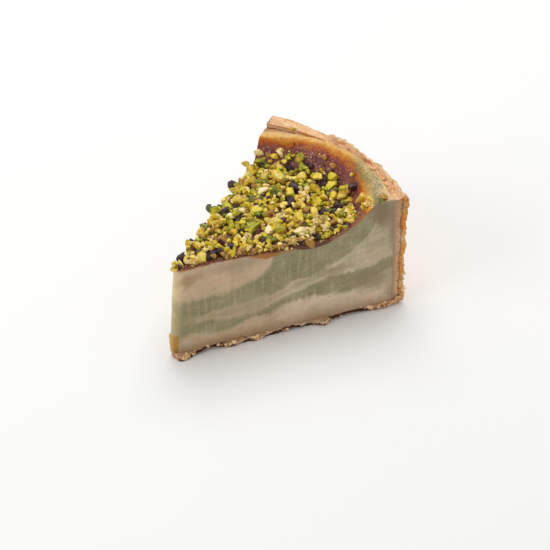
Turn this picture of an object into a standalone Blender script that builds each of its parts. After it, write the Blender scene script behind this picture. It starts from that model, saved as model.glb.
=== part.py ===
"""A slice of a deep custard tart, marbled with pistachio: one wedge of set custard in a thin flaky
pastry shell, with a browned top that has sunk inside its high rim, and chopped pistachios on it.

Units are metres and +Z is up. The slice rests on the underside of its base. +X runs from the
tip to the crust and the slice is cut evenly to both sides of it. The origin is the middle of
the bounding box's underside.
"""

import math
import random

import bmesh
import bpy
from mathutils import Euler, Matrix, Vector, noise

MM = 0.001
GOLDEN_ANGLE = math.pi * (3 - math.sqrt(5))  # between points that spread evenly over a ball

# The whole tart and the cut.
RING_RADIUS = 107 * MM
CRUST_HEIGHT = 59.6 * MM
WEDGE_ANGLE = math.radians(46)
HALF_ANGLE = WEDGE_ANGLE / 2
FAR_OUTWARD = Vector((-math.sin(HALF_ANGLE), math.cos(HALF_ANGLE), 0))  # out of the far cut
ARC_FROM = 30 * MM  # nearer the centre than this, lines across the slice straighten

# The blunt tip: the far cut stops short of the near one, more so at the foot.
TIP_START_FOOT = 1.5 * MM  # how far from the centre it begins, at its foot and at its top
TIP_START_TOP = 2.9 * MM
TIP_WIDTH_FOOT = 2.9 * MM
TIP_WIDTH_TOP = 0.2 * MM
TIP_BULGE = 0.6 * MM
TIP_ROUND = 7 * MM
TIP_LEDGE_HEIGHT = 12.5 * MM
TIP_LEDGE = 1.0 * MM  # below this ledge its far edge stands out further
TIP_PINCH = 1.6 * MM  # and narrows again down to its foot

# Pastry shell.
BASE_TOP = 2.7 * MM
BASE_THINNEST = 0.9 * MM
WALL_INNER_FOOT = 101.3 * MM
WALL_INNER_LEAN = 1.6 * MM  # how far the pastry thickens inwards at the top of a cut
WALL_INNER_EASE = 2.9 * MM  # and how much of that it gives back half way round
FOOT_ROUNDING = 2.2 * MM
FOOT_SHARE = 0.6  # how much of its rounding the foot draws in by, and the rim of its own
RIM_ROUNDING = 1.6 * MM
RIM_SHARE = 0.8
RIM_SLOPE = 2.2 * MM  # the rim's inner edge lies this much lower at the far cut
RIM_SLOPE_FROM = 0.45  # shares of the way across where that begins and is whole
RIM_SLOPE_TO = 0.95
RIM_UNEVEN = 0.8 * MM
RIM_UNEVEN_SPAN = 22 * MM
LEAVES = 3  # thin leaves of dough through the wall's thickness
LEAF_STEP = 0.85 * MM
LEAF_SPAN = 7 * MM
LEAF_APART = 9 * MM  # far enough along its unevenness that each leaf has its own
LEAF_UNEVEN = 1.3  # shares of a leaf's step: how much its height varies, and how deep the gaps between are
LEAF_GAP = 0.9
LEAF_LIFT = 0.3
TORN_LEAF = 2.0 * MM  # the outermost leaf stands taller, up to where it has torn off
TORN_LEAF_END = 0.66  # share of the way across
TORN_LEAF_STEEPNESS = 20
BLISTER = 1.5 * MM
BLISTER_SPAN = 10 * MM
BLISTER_SWELL = 0.65  # shares of it in broad swells and in fine ones
BLISTER_FINE = 0.45
BLISTER_FINENESS = 2.5
BASE_FLAKE = 1.8 * MM
BASE_FLAKE_SPAN = 6 * MM
BASE_FLAKE_FROM = 9 * MM  # the tip itself is cut clean
FLAKE_SIDES_APART = 40 * MM  # how far along its raggedness the two cuts and the two faces are apart
FLAKE_LEVELS_APART = 3 * MM
NEAR_FLAKE_REACH = 0.3  # share of the way across that the flakes named next go in
NEAR_FLAKES = (  # where the base's edge stands out of the near cut: middle, half length, how far
    (5 * MM, 11 * MM, 1.9 * MM),
    (26 * MM, 6 * MM, 1.7 * MM),
    (38 * MM, 6 * MM, 1.5 * MM),
    (68 * MM, 7 * MM, 1.6 * MM),
    (94 * MM, 5 * MM, 1.0 * MM),
)
UNDERSIDE_LIFT_DEPTH = 9 * MM
UNDERSIDE_LIFTS = (  # places along the near cut where the base has curled up: middle, half length, height
    (16 * MM, 10 * MM, 1.7 * MM),
    (54 * MM, 7 * MM, 1.0 * MM),
    (82 * MM, 13 * MM, 1.4 * MM),
)

# Custard.
JOINT_GAP = 0.4 * MM
FILLING_HEIGHT_TIP = 48.7 * MM
FILLING_SAG = 3.0 * MM
SAG_FROM = 22 * MM
SAG_TO = 62 * MM
CREST_HEIGHT_NEAR = 60.0 * MM
CREST_HEIGHT_FAR = 57.2 * MM
CREST_NEAR = 93.5 * MM
CREST_MIDDLE = 99.0 * MM
CREST_FAR = 93.5 * MM
CREST_BOW = 0.8
CREST_DROP_FROM = 0.375  # share of the way across where the crest begins to lose height
SLOPE_NEAR = 24 * MM
SLOPE_ROUND = 9.0 * MM
SLOPE_NEAR_END = 0.22  # share of the way across where the long slope by the near cut has shortened
SLOPE_POWER = 1.6
CREST_SOFTNESS = 0.16
TOP_UNEVEN = 0.45 * MM
TOP_UNEVEN_SPAN = 16 * MM
CUT_UNEVEN = 0.22 * MM
CUT_UNEVEN_SPAN = 14 * MM
CUT_UNEVEN_DEPTH = 6  # it dies out within one part in this many of the way across

# Chopped pistachios: the pieces that stand out, on top, and the ones that fill in between them.
NUT_SEED = 41
DISTINCT_NUTS = (  # reach in mm, degrees from the near cut, and length in mm
    (2.0, 33, 3.2), (8.6, 42.2, 4.4), (13.9, 36.4, 3.4), (18.5, 50, 4.6), (18.7, 35.7, 5.2),
    (22.1, 23.5, 5.2), (23.4, 10.3, 4.4), (24.3, 35.3, 3.4), (26.7, 42, 5.6), (27.7, 4.3, 4),
    (29.1, 36.8, 3.6), (29.3, 11.9, 3.6), (29.4, 25.5, 5.2), (32.3, 45.7, 4.4), (35.2, 37.7, 5.2),
    (38.9, 31.2, 4.8), (40, 17.8, 4), (42.9, 7.9, 4.4), (43, 46, 5), (43.7, 36.1, 4.2),
    (43.7, 48.9, 3.8), (44.8, 19.5, 6.6), (45, 41.1, 4.8), (47.1, 35.2, 4.4), (49.8, 14.6, 4.8),
    (50.6, 47.3, 2.4), (50.9, 3.3, 3.4), (53.5, 12.2, 6), (54.5, 29.3, 5.2), (55, 34.9, 4.4),
    (55.1, 3.2, 4.2), (55.5, 46, 4.6), (55.8, 18.5, 4.6), (56.8, 41.2, 6), (57.7, 0.7, 3.2),
    (57.9, 24.1, 4.8), (59.7, 19.2, 5.2), (60.2, 30.6, 4.6), (61.1, 7.4, 5.2), (62.1, 1.2, 5),
    (64.3, 37.3, 4.4), (64.8, 14.2, 6), (67.6, 48.2, 4.6), (67.9, 32.5, 4.2), (68, 35.7, 5.2),
    (69.3, 42.3, 4.6), (69.9, 7.4, 5.4), (70.5, 30.8, 5.6), (72, 20.5, 4.8), (73.3, 14.8, 4.4),
    (73.9, 4, 4), (74.7, 27, 5), (75.7, 12.2, 5), (76.2, 44.3, 5.2), (77.1, 22.8, 4.6),
    (77.7, 3.3, 4.4), (78.2, 17.9, 5.8), (79.5, 28.4, 5.2), (79.6, 35.6, 6), (80.4, 1.7, 2.8),
    (80.9, 11.7, 4.4), (81.7, 8, 4.8), (81.9, 42, 4.2), (83.3, 31.7, 3.8), (83.6, 48, 4), (84.2, 23, 5),
    (84.8, 12.9, 4.2), (85.9, 42.1, 4.2), (85.9, 44.1, 4.8), (87, 37.7, 5), (87.7, 17.8, 4.6),
    (87.8, 30.3, 5.4), (88.4, 10.8, 4.2), (90.1, 42.8, 3.4), (90.4, 15.9, 5.2), (90.8, 20.9, 6),
    (91.2, 26.2, 5.2), (91.3, 31.6, 4.4), (92, 23.6, 3.4), (93, 9.5, 4.8), (93, 16.3, 5),
    (93.7, 22, 4.6), (94, -0.2, 3.2), (94.3, 14.4, 4.4), (96.1, 1.3, 3.4), (96.1, 23.6, 3),
    (96.5, 16.6, 2.2), (96.6, 27.1, 3.2), (101.9, 39, 3),
)
NUT_COUNT = 125
NUT_LARGEST = 5.2 * MM
NUT_SMALLEST = 2.8 * MM
NUT_SIZE_POWER = 0.7
NUT_CORNERS = 8
NUT_CORNER_REACH = 1.08  # corners this few stand out further, to be as large as the piece they stand for
NUT_LENGTH = (1.2, 1.5)  # shares of its size, from least to most, that a nut is long, wide and thick
NUT_WIDTH = (0.95, 1.2)
NUT_DEPTH = (0.8, 1.0)
NUT_THICKNESS = 0.75  # and that it is thick once it is cut, on average
NUT_TILT = 0.5
NUT_CUTS = 4  # flat cuts across each, and how far from its middle they pass, as shares of its radius
NUT_CUT_NEAREST = 0.45
NUT_CUT_FARTHEST = 0.8
NUT_CUT_FLATNESS = 0.93
NUT_TRIES = 10
NUT_CLOSENESS = 0.4  # share of two sizes that their middles keep apart where there is room
NUT_SUNK = 0.15  # share of its size that a nut sits in the custard
NUT_NESTING = 0.45  # and that one lying on others sinks between them
NUT_FIELD_FROM = 4.5 * MM
NUT_FIELD_TO_NEAR = 80 * MM
NUT_FIELD_TO_MIDDLE = 94 * MM
NUT_FIELD_TO_FAR = 88 * MM
NUT_FIELD_BOW = 0.6
NUT_EDGE_NEAR = 0.5 * MM
NUT_EDGE_SIZE = 0.25  # share of its size that a nut's middle also keeps from the near cut
NUT_EDGE_MOST = 0.6
NUT_EDGE_SIZE_FAR = 0.2
NUT_OVERHANG_FAR = 0.8 * MM

# Cells of each block: along the cut, across the slice, and through its height or thickness.
FILLING_TIP_STEP = 1.5 * MM  # the first row, over which the tip's ledge runs out
FILLING_PLAIN_STEP = 9 * MM
FILLING_SLOPE_STEP = 2.5 * MM
FILLING_ACROSS = 16
FILLING_LEVELS = (0.42, 0.62, 0.82, 1.0)  # shares of the height, above the tip's ledge
LEDGE_STEP = 0.004  # half the share of the height over which the ledge steps
CRUST_BASE_CELLS = 12
CRUST_WALL_CELLS = 12
CRUST_ACROSS = 26
CRUST_LAYERS = LEAVES * 2


def smooth(share):
    share = min(max(share, 0.0), 1.0)
    return share * share * (3 - 2 * share)


def blend(first, second, share):
    return first + (second - first) * share


def soft_minimum(value, cap, softness):
    """The smaller of the two, with the corner between them rounded off."""
    share = min(max(0.5 + 0.5 * (cap - value) / softness, 0.0), 1.0)
    return blend(cap, value, share) - softness * share * (1 - share)


def rumple(x, y, z, span):
    """Smooth unevenness between about -1 and 1, whose swells are span across."""
    return noise.noise(Vector((x, y, z)) / span)


def tip_start(height):
    """How far from the centre the tip begins."""
    return blend(TIP_START_FOOT, TIP_START_TOP, height / FILLING_HEIGHT_TIP)


def plan(reach, across, height):
    """The (x, y) of a spot, by its distance from the ring's centre and its share of the way across."""
    angle = HALF_ANGLE * (2 * across - 1)
    on_arc = Vector((math.cos(angle), math.sin(angle))) * reach
    near = Vector((math.cos(HALF_ANGLE), -math.sin(HALF_ANGLE))) * reach
    far = Vector((math.cos(HALF_ANGLE), math.sin(HALF_ANGLE))) * reach
    spot = near.lerp(far, across).lerp(on_arc, smooth(reach / ARC_FROM))
    width = blend(TIP_WIDTH_FOOT, TIP_WIDTH_TOP, height / FILLING_HEIGHT_TIP)
    roundness = max(1 - (reach - TIP_START_FOOT) / TIP_ROUND, 0.0)
    pinch = TIP_PINCH * max(1 - height / TIP_LEDGE_HEIGHT, 0.0) * roundness
    spot += FAR_OUTWARD.xy * (across * (width * (1 - reach / RING_RADIUS) - pinch))
    spot.x -= TIP_BULGE * 4 * across * (1 - across) * roundness
    return spot


def wall_inner(height, across):
    """How far from the centre the pastry wall begins."""
    share = (height / CRUST_HEIGHT) ** 2
    lean = WALL_INNER_LEAN - WALL_INNER_EASE * math.sin(math.pi * across)
    return WALL_INNER_FOOT - lean * share


def wall_outer(height, across):
    """The blistered outside of the pastry wall, rounded at its foot and at its rim."""
    swell = rumple(across * WEDGE_ANGLE * RING_RADIUS, height, 0.31, BLISTER_SPAN)
    fine = rumple(across * WEDGE_ANGLE * RING_RADIUS, height, 0.77, BLISTER_SPAN / BLISTER_FINENESS)
    reach = RING_RADIUS + BLISTER * (BLISTER_SWELL * swell + BLISTER_FINE * fine)
    below = max(1 - height / FOOT_ROUNDING, 0.0)
    above = max(1 - (CRUST_HEIGHT - height) / RIM_ROUNDING, 0.0)
    return reach - FOOT_ROUNDING * FOOT_SHARE * below**2 - RIM_ROUNDING * RIM_SHARE * above**2


def rim_height(layer, across):
    """The pastry's torn top edge, by its share of the way inwards: thin leaves that end unevenly."""
    along = across * WEDGE_ANGLE * RING_RADIUS
    leaf = min(math.floor(layer * LEAVES), LEAVES - 1)
    between = abs(math.cos(math.pi * layer * LEAVES)) if 0 < layer < 1 else 0.5
    slow = rumple(along, 0.0, 0.12, RIM_UNEVEN_SPAN)
    own = rumple(along, leaf * LEAF_APART, 0.55, LEAF_SPAN)
    sloped = smooth((across - RIM_SLOPE_FROM) / (RIM_SLOPE_TO - RIM_SLOPE_FROM))
    height = CRUST_HEIGHT + RIM_UNEVEN * slow - RIM_SLOPE * layer * sloped
    if leaf == 0:
        height += TORN_LEAF * smooth((TORN_LEAF_END - across) * TORN_LEAF_STEEPNESS)
    return height + LEAF_STEP * (LEAF_UNEVEN * own - LEAF_GAP * between + LEAF_LIFT)


def underside(reach, across):
    """The height of the base's underside: flat, but for curled stretches along the near cut."""
    inwards = across * WEDGE_ANGLE * max(reach, TIP_ROUND)
    depth = 1 - smooth(inwards / UNDERSIDE_LIFT_DEPTH)
    lift = 0.0
    for middle, half_length, height in UNDERSIDE_LIFTS:
        lift = max(lift, height * (1 - smooth(abs(reach - middle) / half_length)))
    return min(lift * depth, BASE_TOP - BASE_THINNEST)


def filling_top(reach, across):
    """The height of the custard's skin: a sunken floor that climbs to a crest against the crust."""
    bow = math.sin(math.pi * across) ** CREST_BOW if 0 < across < 1 else 0.0
    crest = blend(CREST_NEAR, CREST_FAR, across) + (CREST_MIDDLE - CREST_NEAR) * bow
    slope = blend(SLOPE_NEAR, SLOPE_ROUND, smooth(across / SLOPE_NEAR_END))
    floor = FILLING_HEIGHT_TIP - FILLING_SAG * smooth((reach - SAG_FROM) / (SAG_TO - SAG_FROM))
    drop = smooth((across - CREST_DROP_FROM) / (1 - CREST_DROP_FROM))
    crest_height = blend(CREST_HEIGHT_NEAR, CREST_HEIGHT_FAR, drop)
    climb = max((reach - crest + slope) / slope, 0.0) ** SLOPE_POWER
    rise = soft_minimum(climb, 1.0, CREST_SOFTNESS)
    x, y = plan(reach, across, FILLING_HEIGHT_TIP)
    uneven = TOP_UNEVEN * rumple(x, y, 0.4, TOP_UNEVEN_SPAN)
    return floor + (crest_height - floor) * rise + uneven


def cut_waver(reach, across, height):
    """The slight unevenness that the knife leaves, in metres out of the near and the far cut."""
    near = 1 - smooth(across * CUT_UNEVEN_DEPTH)
    far = 1 - smooth((1 - across) * CUT_UNEVEN_DEPTH)
    waver = rumple(reach, across, height, CUT_UNEVEN_SPAN)
    return CUT_UNEVEN * waver * (far - near)


def placed(reach, across, height, proud=0.0):
    """A point of the slice, which stands proud of the nearer cut by that much as well as its waver."""
    spot = plan(reach, across, height)
    side = 1 if across > 0.5 else -1
    outward = Vector((-math.sin(HALF_ANGLE), side * math.cos(HALF_ANGLE)))
    spot += outward * (side * cut_waver(reach, across, height) + proud)
    return Vector((spot.x, spot.y, height))


def block_skin(name, counts, place):
    """A closed skin round a block of counts[0] x counts[1] x counts[2] cells, as an object."""
    mesh = bpy.data.meshes.new(name)
    shape = bmesh.new()
    made = {}

    def vertex(cell):
        if cell not in made:
            made[cell] = shape.verts.new(place(*cell))
        return made[cell]

    for axis in range(3):
        first, second = (axis + 1) % 3, (axis + 2) % 3
        for end in (0, counts[axis]):
            for a in range(counts[first]):
                for b in range(counts[second]):
                    corners = []
                    for step_a, step_b in ((0, 0), (1, 0), (1, 1), (0, 1)):
                        cell = [0, 0, 0]
                        cell[axis], cell[first], cell[second] = end, a + step_a, b + step_b
                        corners.append(vertex(tuple(cell)))
                    shape.faces.new(corners if end else corners[::-1])
    bmesh.ops.triangulate(shape, faces=shape.faces[:])
    bmesh.ops.recalc_face_normals(shape, faces=shape.faces[:])
    shape.to_mesh(mesh)
    shape.free()
    thing = bpy.data.objects.new(name, mesh)
    bpy.context.scene.collection.objects.link(thing)
    return thing


def finish(name, colour, roughness):
    """A plain material of the food's own colour."""
    material = bpy.data.materials.new(name)
    material.use_nodes = True
    shader = material.node_tree.nodes["Principled BSDF"]
    shader.inputs["Base Color"].default_value = (*colour, 1)
    shader.inputs["Roughness"].default_value = roughness
    shader.inputs["Metallic"].default_value = 0
    return material


def filling_reaches():
    """Distances from the centre of the custard's rows, closer together where it climbs."""
    reaches = [TIP_START_TOP, TIP_START_TOP + FILLING_TIP_STEP]
    while reaches[-1] < CREST_NEAR - SLOPE_NEAR:
        reaches.append(reaches[-1] + FILLING_PLAIN_STEP)
    end = WALL_INNER_FOOT - JOINT_GAP
    steps = round((end - reaches[-1]) / FILLING_SLOPE_STEP)
    start = reaches[-1]
    return reaches + [blend(start, end, step / steps) for step in range(1, steps + 1)]


def make_filling():
    """The custard's wedge, down to its flat underside on the base."""
    reaches = filling_reaches()
    foot = BASE_TOP + JOINT_GAP
    ledge = (TIP_LEDGE_HEIGHT - foot) / (FILLING_HEIGHT_TIP - foot)
    levels = (0.0, ledge - LEDGE_STEP, ledge + LEDGE_STEP, *FILLING_LEVELS)

    def place(row, column, level):
        across = column / FILLING_ACROSS
        share = (reaches[row] - TIP_START_TOP) / (reaches[-1] - TIP_START_TOP)
        top = filling_top(reaches[row], across)
        height = blend(foot, top, levels[level])
        end = wall_inner(height, across) - JOINT_GAP
        spot = placed(blend(tip_start(height), end, share), across, height)
        if row == 0 and levels[level] < ledge:
            spot += FAR_OUTWARD * (TIP_LEDGE * across)
        return spot

    counts = (len(reaches) - 1, FILLING_ACROSS, len(levels) - 1)
    return block_skin("custard", counts, place)


def base_flake(reach, across, depth):
    """How far the base's flaky edge stands out of a cut."""
    edge = 1 - smooth(min(across, 1 - across) * WEDGE_ANGLE * reach / BASE_FLAKE_SPAN)
    ragged = rumple(reach, across * FLAKE_SIDES_APART, depth * FLAKE_LEVELS_APART, BASE_FLAKE_SPAN)
    beyond_tip = smooth(reach / BASE_FLAKE_FROM - 1)
    proud = BASE_FLAKE * max(ragged, 0.0) * edge * beyond_tip
    for middle, half_length, most in NEAR_FLAKES:
        here = most * (1 - smooth(abs(reach - middle) / half_length)) * (1 + ragged)
        proud = max(proud, here * (1 - smooth(across / NEAR_FLAKE_REACH)) * edge)
    return proud


def make_crust():
    """The pastry: the base from the tip outwards, then the wall from its foot to the torn rim."""

    def place(row, column, layer):
        across = column / CRUST_ACROSS
        depth = layer / CRUST_LAYERS
        if row <= CRUST_BASE_CELLS:
            share = row / CRUST_BASE_CELLS
            inner_reach = blend(TIP_START_FOOT, wall_inner(BASE_TOP, across), share)
            outer_reach = blend(TIP_START_FOOT, RING_RADIUS - FOOT_ROUNDING, share)
            reach = blend(outer_reach, inner_reach, depth)
            height = blend(underside(outer_reach, across), BASE_TOP, depth)
            return placed(reach, across, height, base_flake(reach, across, depth))
        share = (row - CRUST_BASE_CELLS) / CRUST_WALL_CELLS
        height_out = blend(FOOT_ROUNDING * 0.5, CRUST_HEIGHT, share)
        height_in = blend(BASE_TOP, CRUST_HEIGHT, share)
        height = blend(height_out, height_in, depth)
        reach = blend(wall_outer(height, across), wall_inner(height, across), depth)
        if row == CRUST_BASE_CELLS + CRUST_WALL_CELLS:
            height = rim_height(depth, across)
        return placed(reach, across, height)

    counts = (CRUST_BASE_CELLS + CRUST_WALL_CELLS, CRUST_ACROSS, CRUST_LAYERS)
    return block_skin("crust", counts, place)


def nut_field_end(across):
    """How far from the centre the chopped nuts lie thick."""
    bow = math.sin(math.pi * across) ** NUT_FIELD_BOW if 0 < across < 1 else 0.0
    ends = blend(NUT_FIELD_TO_NEAR, NUT_FIELD_TO_FAR, across)
    middle = blend(NUT_FIELD_TO_NEAR, NUT_FIELD_TO_FAR, 0.5)
    return ends + (NUT_FIELD_TO_MIDDLE - middle) * bow


def distinct_spots():
    """(x, y, reach, across, size) of the pieces that stand out."""
    spots = []
    for reach, degrees, length in DISTINCT_NUTS:
        angle = math.radians(degrees) - HALF_ANGLE
        x, y = math.cos(angle) * reach * MM, math.sin(angle) * reach * MM
        across = min(max(math.radians(degrees) / WEDGE_ANGLE, 0.0), 1.0)
        spots.append((x, y, reach * MM, across, length * MM))
    return spots


def nut_spots():
    """(x, y, height, size) of each nut: spread evenly, heaped where they meet, the distinct ones last."""
    draw = random.Random(NUT_SEED)
    distinct = distinct_spots()
    filled = []
    for number in range(NUT_COUNT):
        size = blend(NUT_LARGEST, NUT_SMALLEST, (number / NUT_COUNT) ** NUT_SIZE_POWER)
        tries = [nut_try(draw, size, distinct + filled) for _ in range(NUT_TRIES)]
        filled.append(max(tries)[1:])
    spots = []
    for x, y, reach, across, size in filled + distinct:
        height = filling_top(reach, across) + (0.5 * NUT_THICKNESS - NUT_SUNK) * size
        for other_x, other_y, other_height, other_size in spots:
            apart = math.hypot(x - other_x, y - other_y) / (0.5 * (size + other_size))
            lying_on = other_height + NUT_THICKNESS * (0.5 * other_size + (0.5 - NUT_NESTING) * size)
            if apart < 1:
                height = max(height, blend(lying_on, height, apart**2))
        spots.append((x, y, height, size))
    return spots


def nut_try(draw, size, others):
    """One place for a nut, led by the room that the nuts already there leave it."""
    reach = max(nut_field_end(draw.random()) * math.sqrt(draw.random()), NUT_FIELD_FROM)
    across = draw.random()
    reach = min(reach, nut_field_end(across))
    width = WEDGE_ANGLE * reach
    near_margin = (NUT_EDGE_NEAR + size * NUT_EDGE_SIZE) / width
    far_margin = (size * NUT_EDGE_SIZE_FAR - NUT_OVERHANG_FAR) / width
    across = blend(min(near_margin, NUT_EDGE_MOST), 1 - far_margin, across)
    x, y = plan(reach, across, FILLING_HEIGHT_TIP)
    room = min(math.hypot(x - other[0], y - other[1]) - NUT_CLOSENESS * (size + other[4]) for other in others)
    return room, x, y, reach, across, size


def unit_vector(draw):
    """A direction, all being as likely."""
    level = draw.uniform(-1, 1)
    around = draw.uniform(0, 2 * math.pi)
    flat = math.sqrt(1 - level * level)
    return Vector((flat * math.cos(around), flat * math.sin(around), level))


def nut_corners(size, number, count):
    """Points on one chopped piece: a stretched ball, turned anyhow, with flat cuts across it."""
    draw = random.Random(NUT_SEED * 1000 + number)
    length, width, depth = (draw.uniform(*shares) for shares in (NUT_LENGTH, NUT_WIDTH, NUT_DEPTH))
    stretch = Matrix.Diagonal((length, width, depth)) * (size / 2)
    tilts = draw.uniform(-NUT_TILT, NUT_TILT), draw.uniform(-NUT_TILT, NUT_TILT)
    turned = Euler((*tilts, draw.uniform(0, 2 * math.pi))).to_matrix()
    cuts = [(unit_vector(draw), draw.uniform(NUT_CUT_NEAREST, NUT_CUT_FARTHEST)) for _ in range(NUT_CUTS)]
    corners = []
    for step in range(count):
        level = 1 - 2 * (step + 0.5) / count
        around = step * GOLDEN_ANGLE
        flat = math.sqrt(1 - level * level)
        point = Vector((flat * math.cos(around), flat * math.sin(around), level))
        for direction, distance in cuts:
            point -= direction * max(point.dot(direction) - distance, 0.0) * NUT_CUT_FLATNESS
        corners.append(turned @ stretch @ point)
    return corners


def make_nut(centre, size, number, collection):
    """One chopped piece as a closed hull of its corners."""
    shape = bmesh.new()
    for corner in nut_corners(size * NUT_CORNER_REACH, number, NUT_CORNERS):
        shape.verts.new(centre + corner)
    hull = bmesh.ops.convex_hull(shape, input=shape.verts[:])
    spare = [part for part in hull["geom_interior"] if isinstance(part, bmesh.types.BMVert)]
    bmesh.ops.delete(shape, geom=spare, context="VERTS")
    bmesh.ops.recalc_face_normals(shape, faces=shape.faces[:])
    mesh = bpy.data.meshes.new("nut")
    shape.to_mesh(mesh)
    shape.free()
    nut = bpy.data.objects.new("nut", mesh)
    collection.objects.link(nut)


def keep_largest_body(mesh):
    """Drops what the union left loose and fills hollows that it sealed."""
    shape = bmesh.new()
    shape.from_mesh(mesh)
    unseen = set(shape.verts)
    bodies = []
    while unseen:
        body, edge = set(), [unseen.pop()]
        while edge:
            vert = edge.pop()
            body.add(vert)
            for link in vert.link_edges:
                other = link.other_vert(vert)
                if other in unseen:
                    unseen.discard(other)
                    edge.append(other)
        bodies.append(body)
    bodies.sort(key=len)
    loose = [vert for body in bodies[:-1] for vert in body]
    bmesh.ops.delete(shape, geom=loose, context="VERTS")
    shape.to_mesh(mesh)
    shape.free()


def fuse_nuts(filling):
    """Joins the chopped pistachios to the custard by one union, and clears their own objects away."""
    collection = bpy.data.collections.new("chopped pistachios")
    bpy.context.scene.collection.children.link(collection)
    for number, (x, y, height, size) in enumerate(nut_spots()):
        make_nut(Vector((x, y, height)), size, number, collection)
    union = filling.modifiers.new("nuts", "BOOLEAN")
    union.operation = "UNION"
    union.operand_type = "COLLECTION"
    union.collection = collection
    union.solver = "EXACT"
    graph = bpy.context.evaluated_depsgraph_get()
    fused = bpy.data.meshes.new_from_object(filling.evaluated_get(graph))
    filling.modifiers.remove(union)
    filling.data = fused
    for nut in list(collection.objects):
        bpy.data.objects.remove(nut)
    bpy.data.collections.remove(collection)
    keep_largest_body(fused)


def centre_on_origin(things):
    """Moves the meshes so that the origin is the middle of the underside of their common box."""
    spots = [vertex.co for thing in things for vertex in thing.data.vertices]
    low = Vector(min(spot[axis] for spot in spots) for axis in range(3))
    high = Vector(max(spot[axis] for spot in spots) for axis in range(3))
    shift = Vector((-(low.x + high.x) / 2, -(low.y + high.y) / 2, -low.z))
    for thing in things:
        for vertex in thing.data.vertices:
            vertex.co += shift
        thing.data.update()


def main():
    for thing in list(bpy.data.objects):
        bpy.data.objects.remove(thing)
    crust = make_crust()
    crust.data.materials.append(finish("baked pastry", (0.55, 0.30, 0.13), 0.75))
    filling = make_filling()
    fuse_nuts(filling)
    filling.data.materials.clear()
    filling.data.materials.append(finish("set pistachio custard", (0.45, 0.43, 0.27), 0.4))
    centre_on_origin((crust, filling))


main()
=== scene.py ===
"""A slice of deep marbled custard tart in a flaky crust, heaped with chopped pistachios: its looks.

Units are metres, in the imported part's own frame: +X from the tip to the crust, +Z up. Lengths are
written in millimetres times MM. The materials' patterns are scaled from millimetres on the slice, so
1 / 9 stands for swells or grains of 9 mm.
"""

import math
import random

import bmesh
import bpy
from bpy.props import FloatProperty, FloatVectorProperty, IntProperty, PointerProperty
from mathutils import Euler, Matrix, Vector, noise


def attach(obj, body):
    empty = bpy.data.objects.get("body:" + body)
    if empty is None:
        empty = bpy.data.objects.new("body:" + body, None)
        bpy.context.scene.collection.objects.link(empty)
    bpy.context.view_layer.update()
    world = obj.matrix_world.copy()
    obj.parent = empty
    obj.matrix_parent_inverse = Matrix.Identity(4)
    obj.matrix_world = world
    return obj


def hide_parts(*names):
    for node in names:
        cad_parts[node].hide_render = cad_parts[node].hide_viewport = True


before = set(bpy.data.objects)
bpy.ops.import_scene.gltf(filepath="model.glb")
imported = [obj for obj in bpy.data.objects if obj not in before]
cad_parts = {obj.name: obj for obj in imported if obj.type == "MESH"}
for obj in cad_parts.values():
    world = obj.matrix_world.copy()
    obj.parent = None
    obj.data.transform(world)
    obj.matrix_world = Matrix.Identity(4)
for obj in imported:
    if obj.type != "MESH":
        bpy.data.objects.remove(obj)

bl_info = {
    "name": "Marbled custard tart slice",
    "version": (1, 0, 0),
    "blender": (4, 5, 0),
    "location": "View3D > Sidebar > Tart",
    "description": "Builds a slice of custard tart with a flaky crust and chopped pistachios",
    "category": "Add Mesh",
}

MM = 0.001
GOLDEN_ANGLE = math.pi * (3 - math.sqrt(5))  # between points that spread evenly over a ball
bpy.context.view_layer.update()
RING_CENTRE = Vector((-53.879, 0.012, 0)) * MM  # of the tart that the slice was cut from

# The form of the solids, which the fine pieces follow. First the whole tart and the cut.
RING_RADIUS = 107 * MM
CRUST_HEIGHT = 59.6 * MM
WEDGE_ANGLE = math.radians(46)
HALF_ANGLE = WEDGE_ANGLE / 2
FAR_OUTWARD = Vector((-math.sin(HALF_ANGLE), math.cos(HALF_ANGLE), 0))  # out of the far cut
ARC_FROM = 30 * MM  # nearer the centre than this, lines across the slice straighten

# The blunt tip: the far cut stops short of the near one, more so at the foot.
TIP_START_FOOT = 1.5 * MM  # how far from the centre it begins, at its foot and at its top
TIP_START_TOP = 2.9 * MM
TIP_WIDTH_FOOT = 2.9 * MM
TIP_WIDTH_TOP = 0.2 * MM
TIP_BULGE = 0.6 * MM
TIP_ROUND = 7 * MM
TIP_LEDGE_HEIGHT = 12.5 * MM
TIP_LEDGE = 1.0 * MM  # below this ledge its far edge stands out further
TIP_PINCH = 1.6 * MM  # and narrows again down to its foot

# Pastry shell.
BASE_TOP = 2.7 * MM
BASE_THINNEST = 0.9 * MM
WALL_INNER_FOOT = 101.3 * MM
WALL_INNER_LEAN = 1.6 * MM  # how far the pastry thickens inwards at the top of a cut
WALL_INNER_EASE = 2.9 * MM  # and how much of that it gives back half way round
FOOT_ROUNDING = 2.2 * MM
FOOT_SHARE = 0.6  # how much of its rounding the foot draws in by, and the rim of its own
RIM_ROUNDING = 1.6 * MM
RIM_SHARE = 0.8
RIM_SLOPE = 2.2 * MM  # the rim's inner edge lies this much lower at the far cut
RIM_SLOPE_FROM = 0.45  # shares of the way across where that begins and is whole
RIM_SLOPE_TO = 0.95
RIM_UNEVEN = 0.8 * MM
RIM_UNEVEN_SPAN = 22 * MM
LEAVES = 3  # thin leaves of dough through the wall's thickness
LEAF_STEP = 0.85 * MM
LEAF_SPAN = 7 * MM
LEAF_APART = 9 * MM  # far enough along its unevenness that each leaf has its own
LEAF_UNEVEN = 1.3  # shares of a leaf's step: how much its height varies, and how deep the gaps between are
LEAF_GAP = 0.9
LEAF_LIFT = 0.3
TORN_LEAF = 2.0 * MM  # the outermost leaf stands taller, up to where it has torn off
TORN_LEAF_END = 0.66  # share of the way across
TORN_LEAF_STEEPNESS = 20
BLISTER = 1.5 * MM
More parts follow.
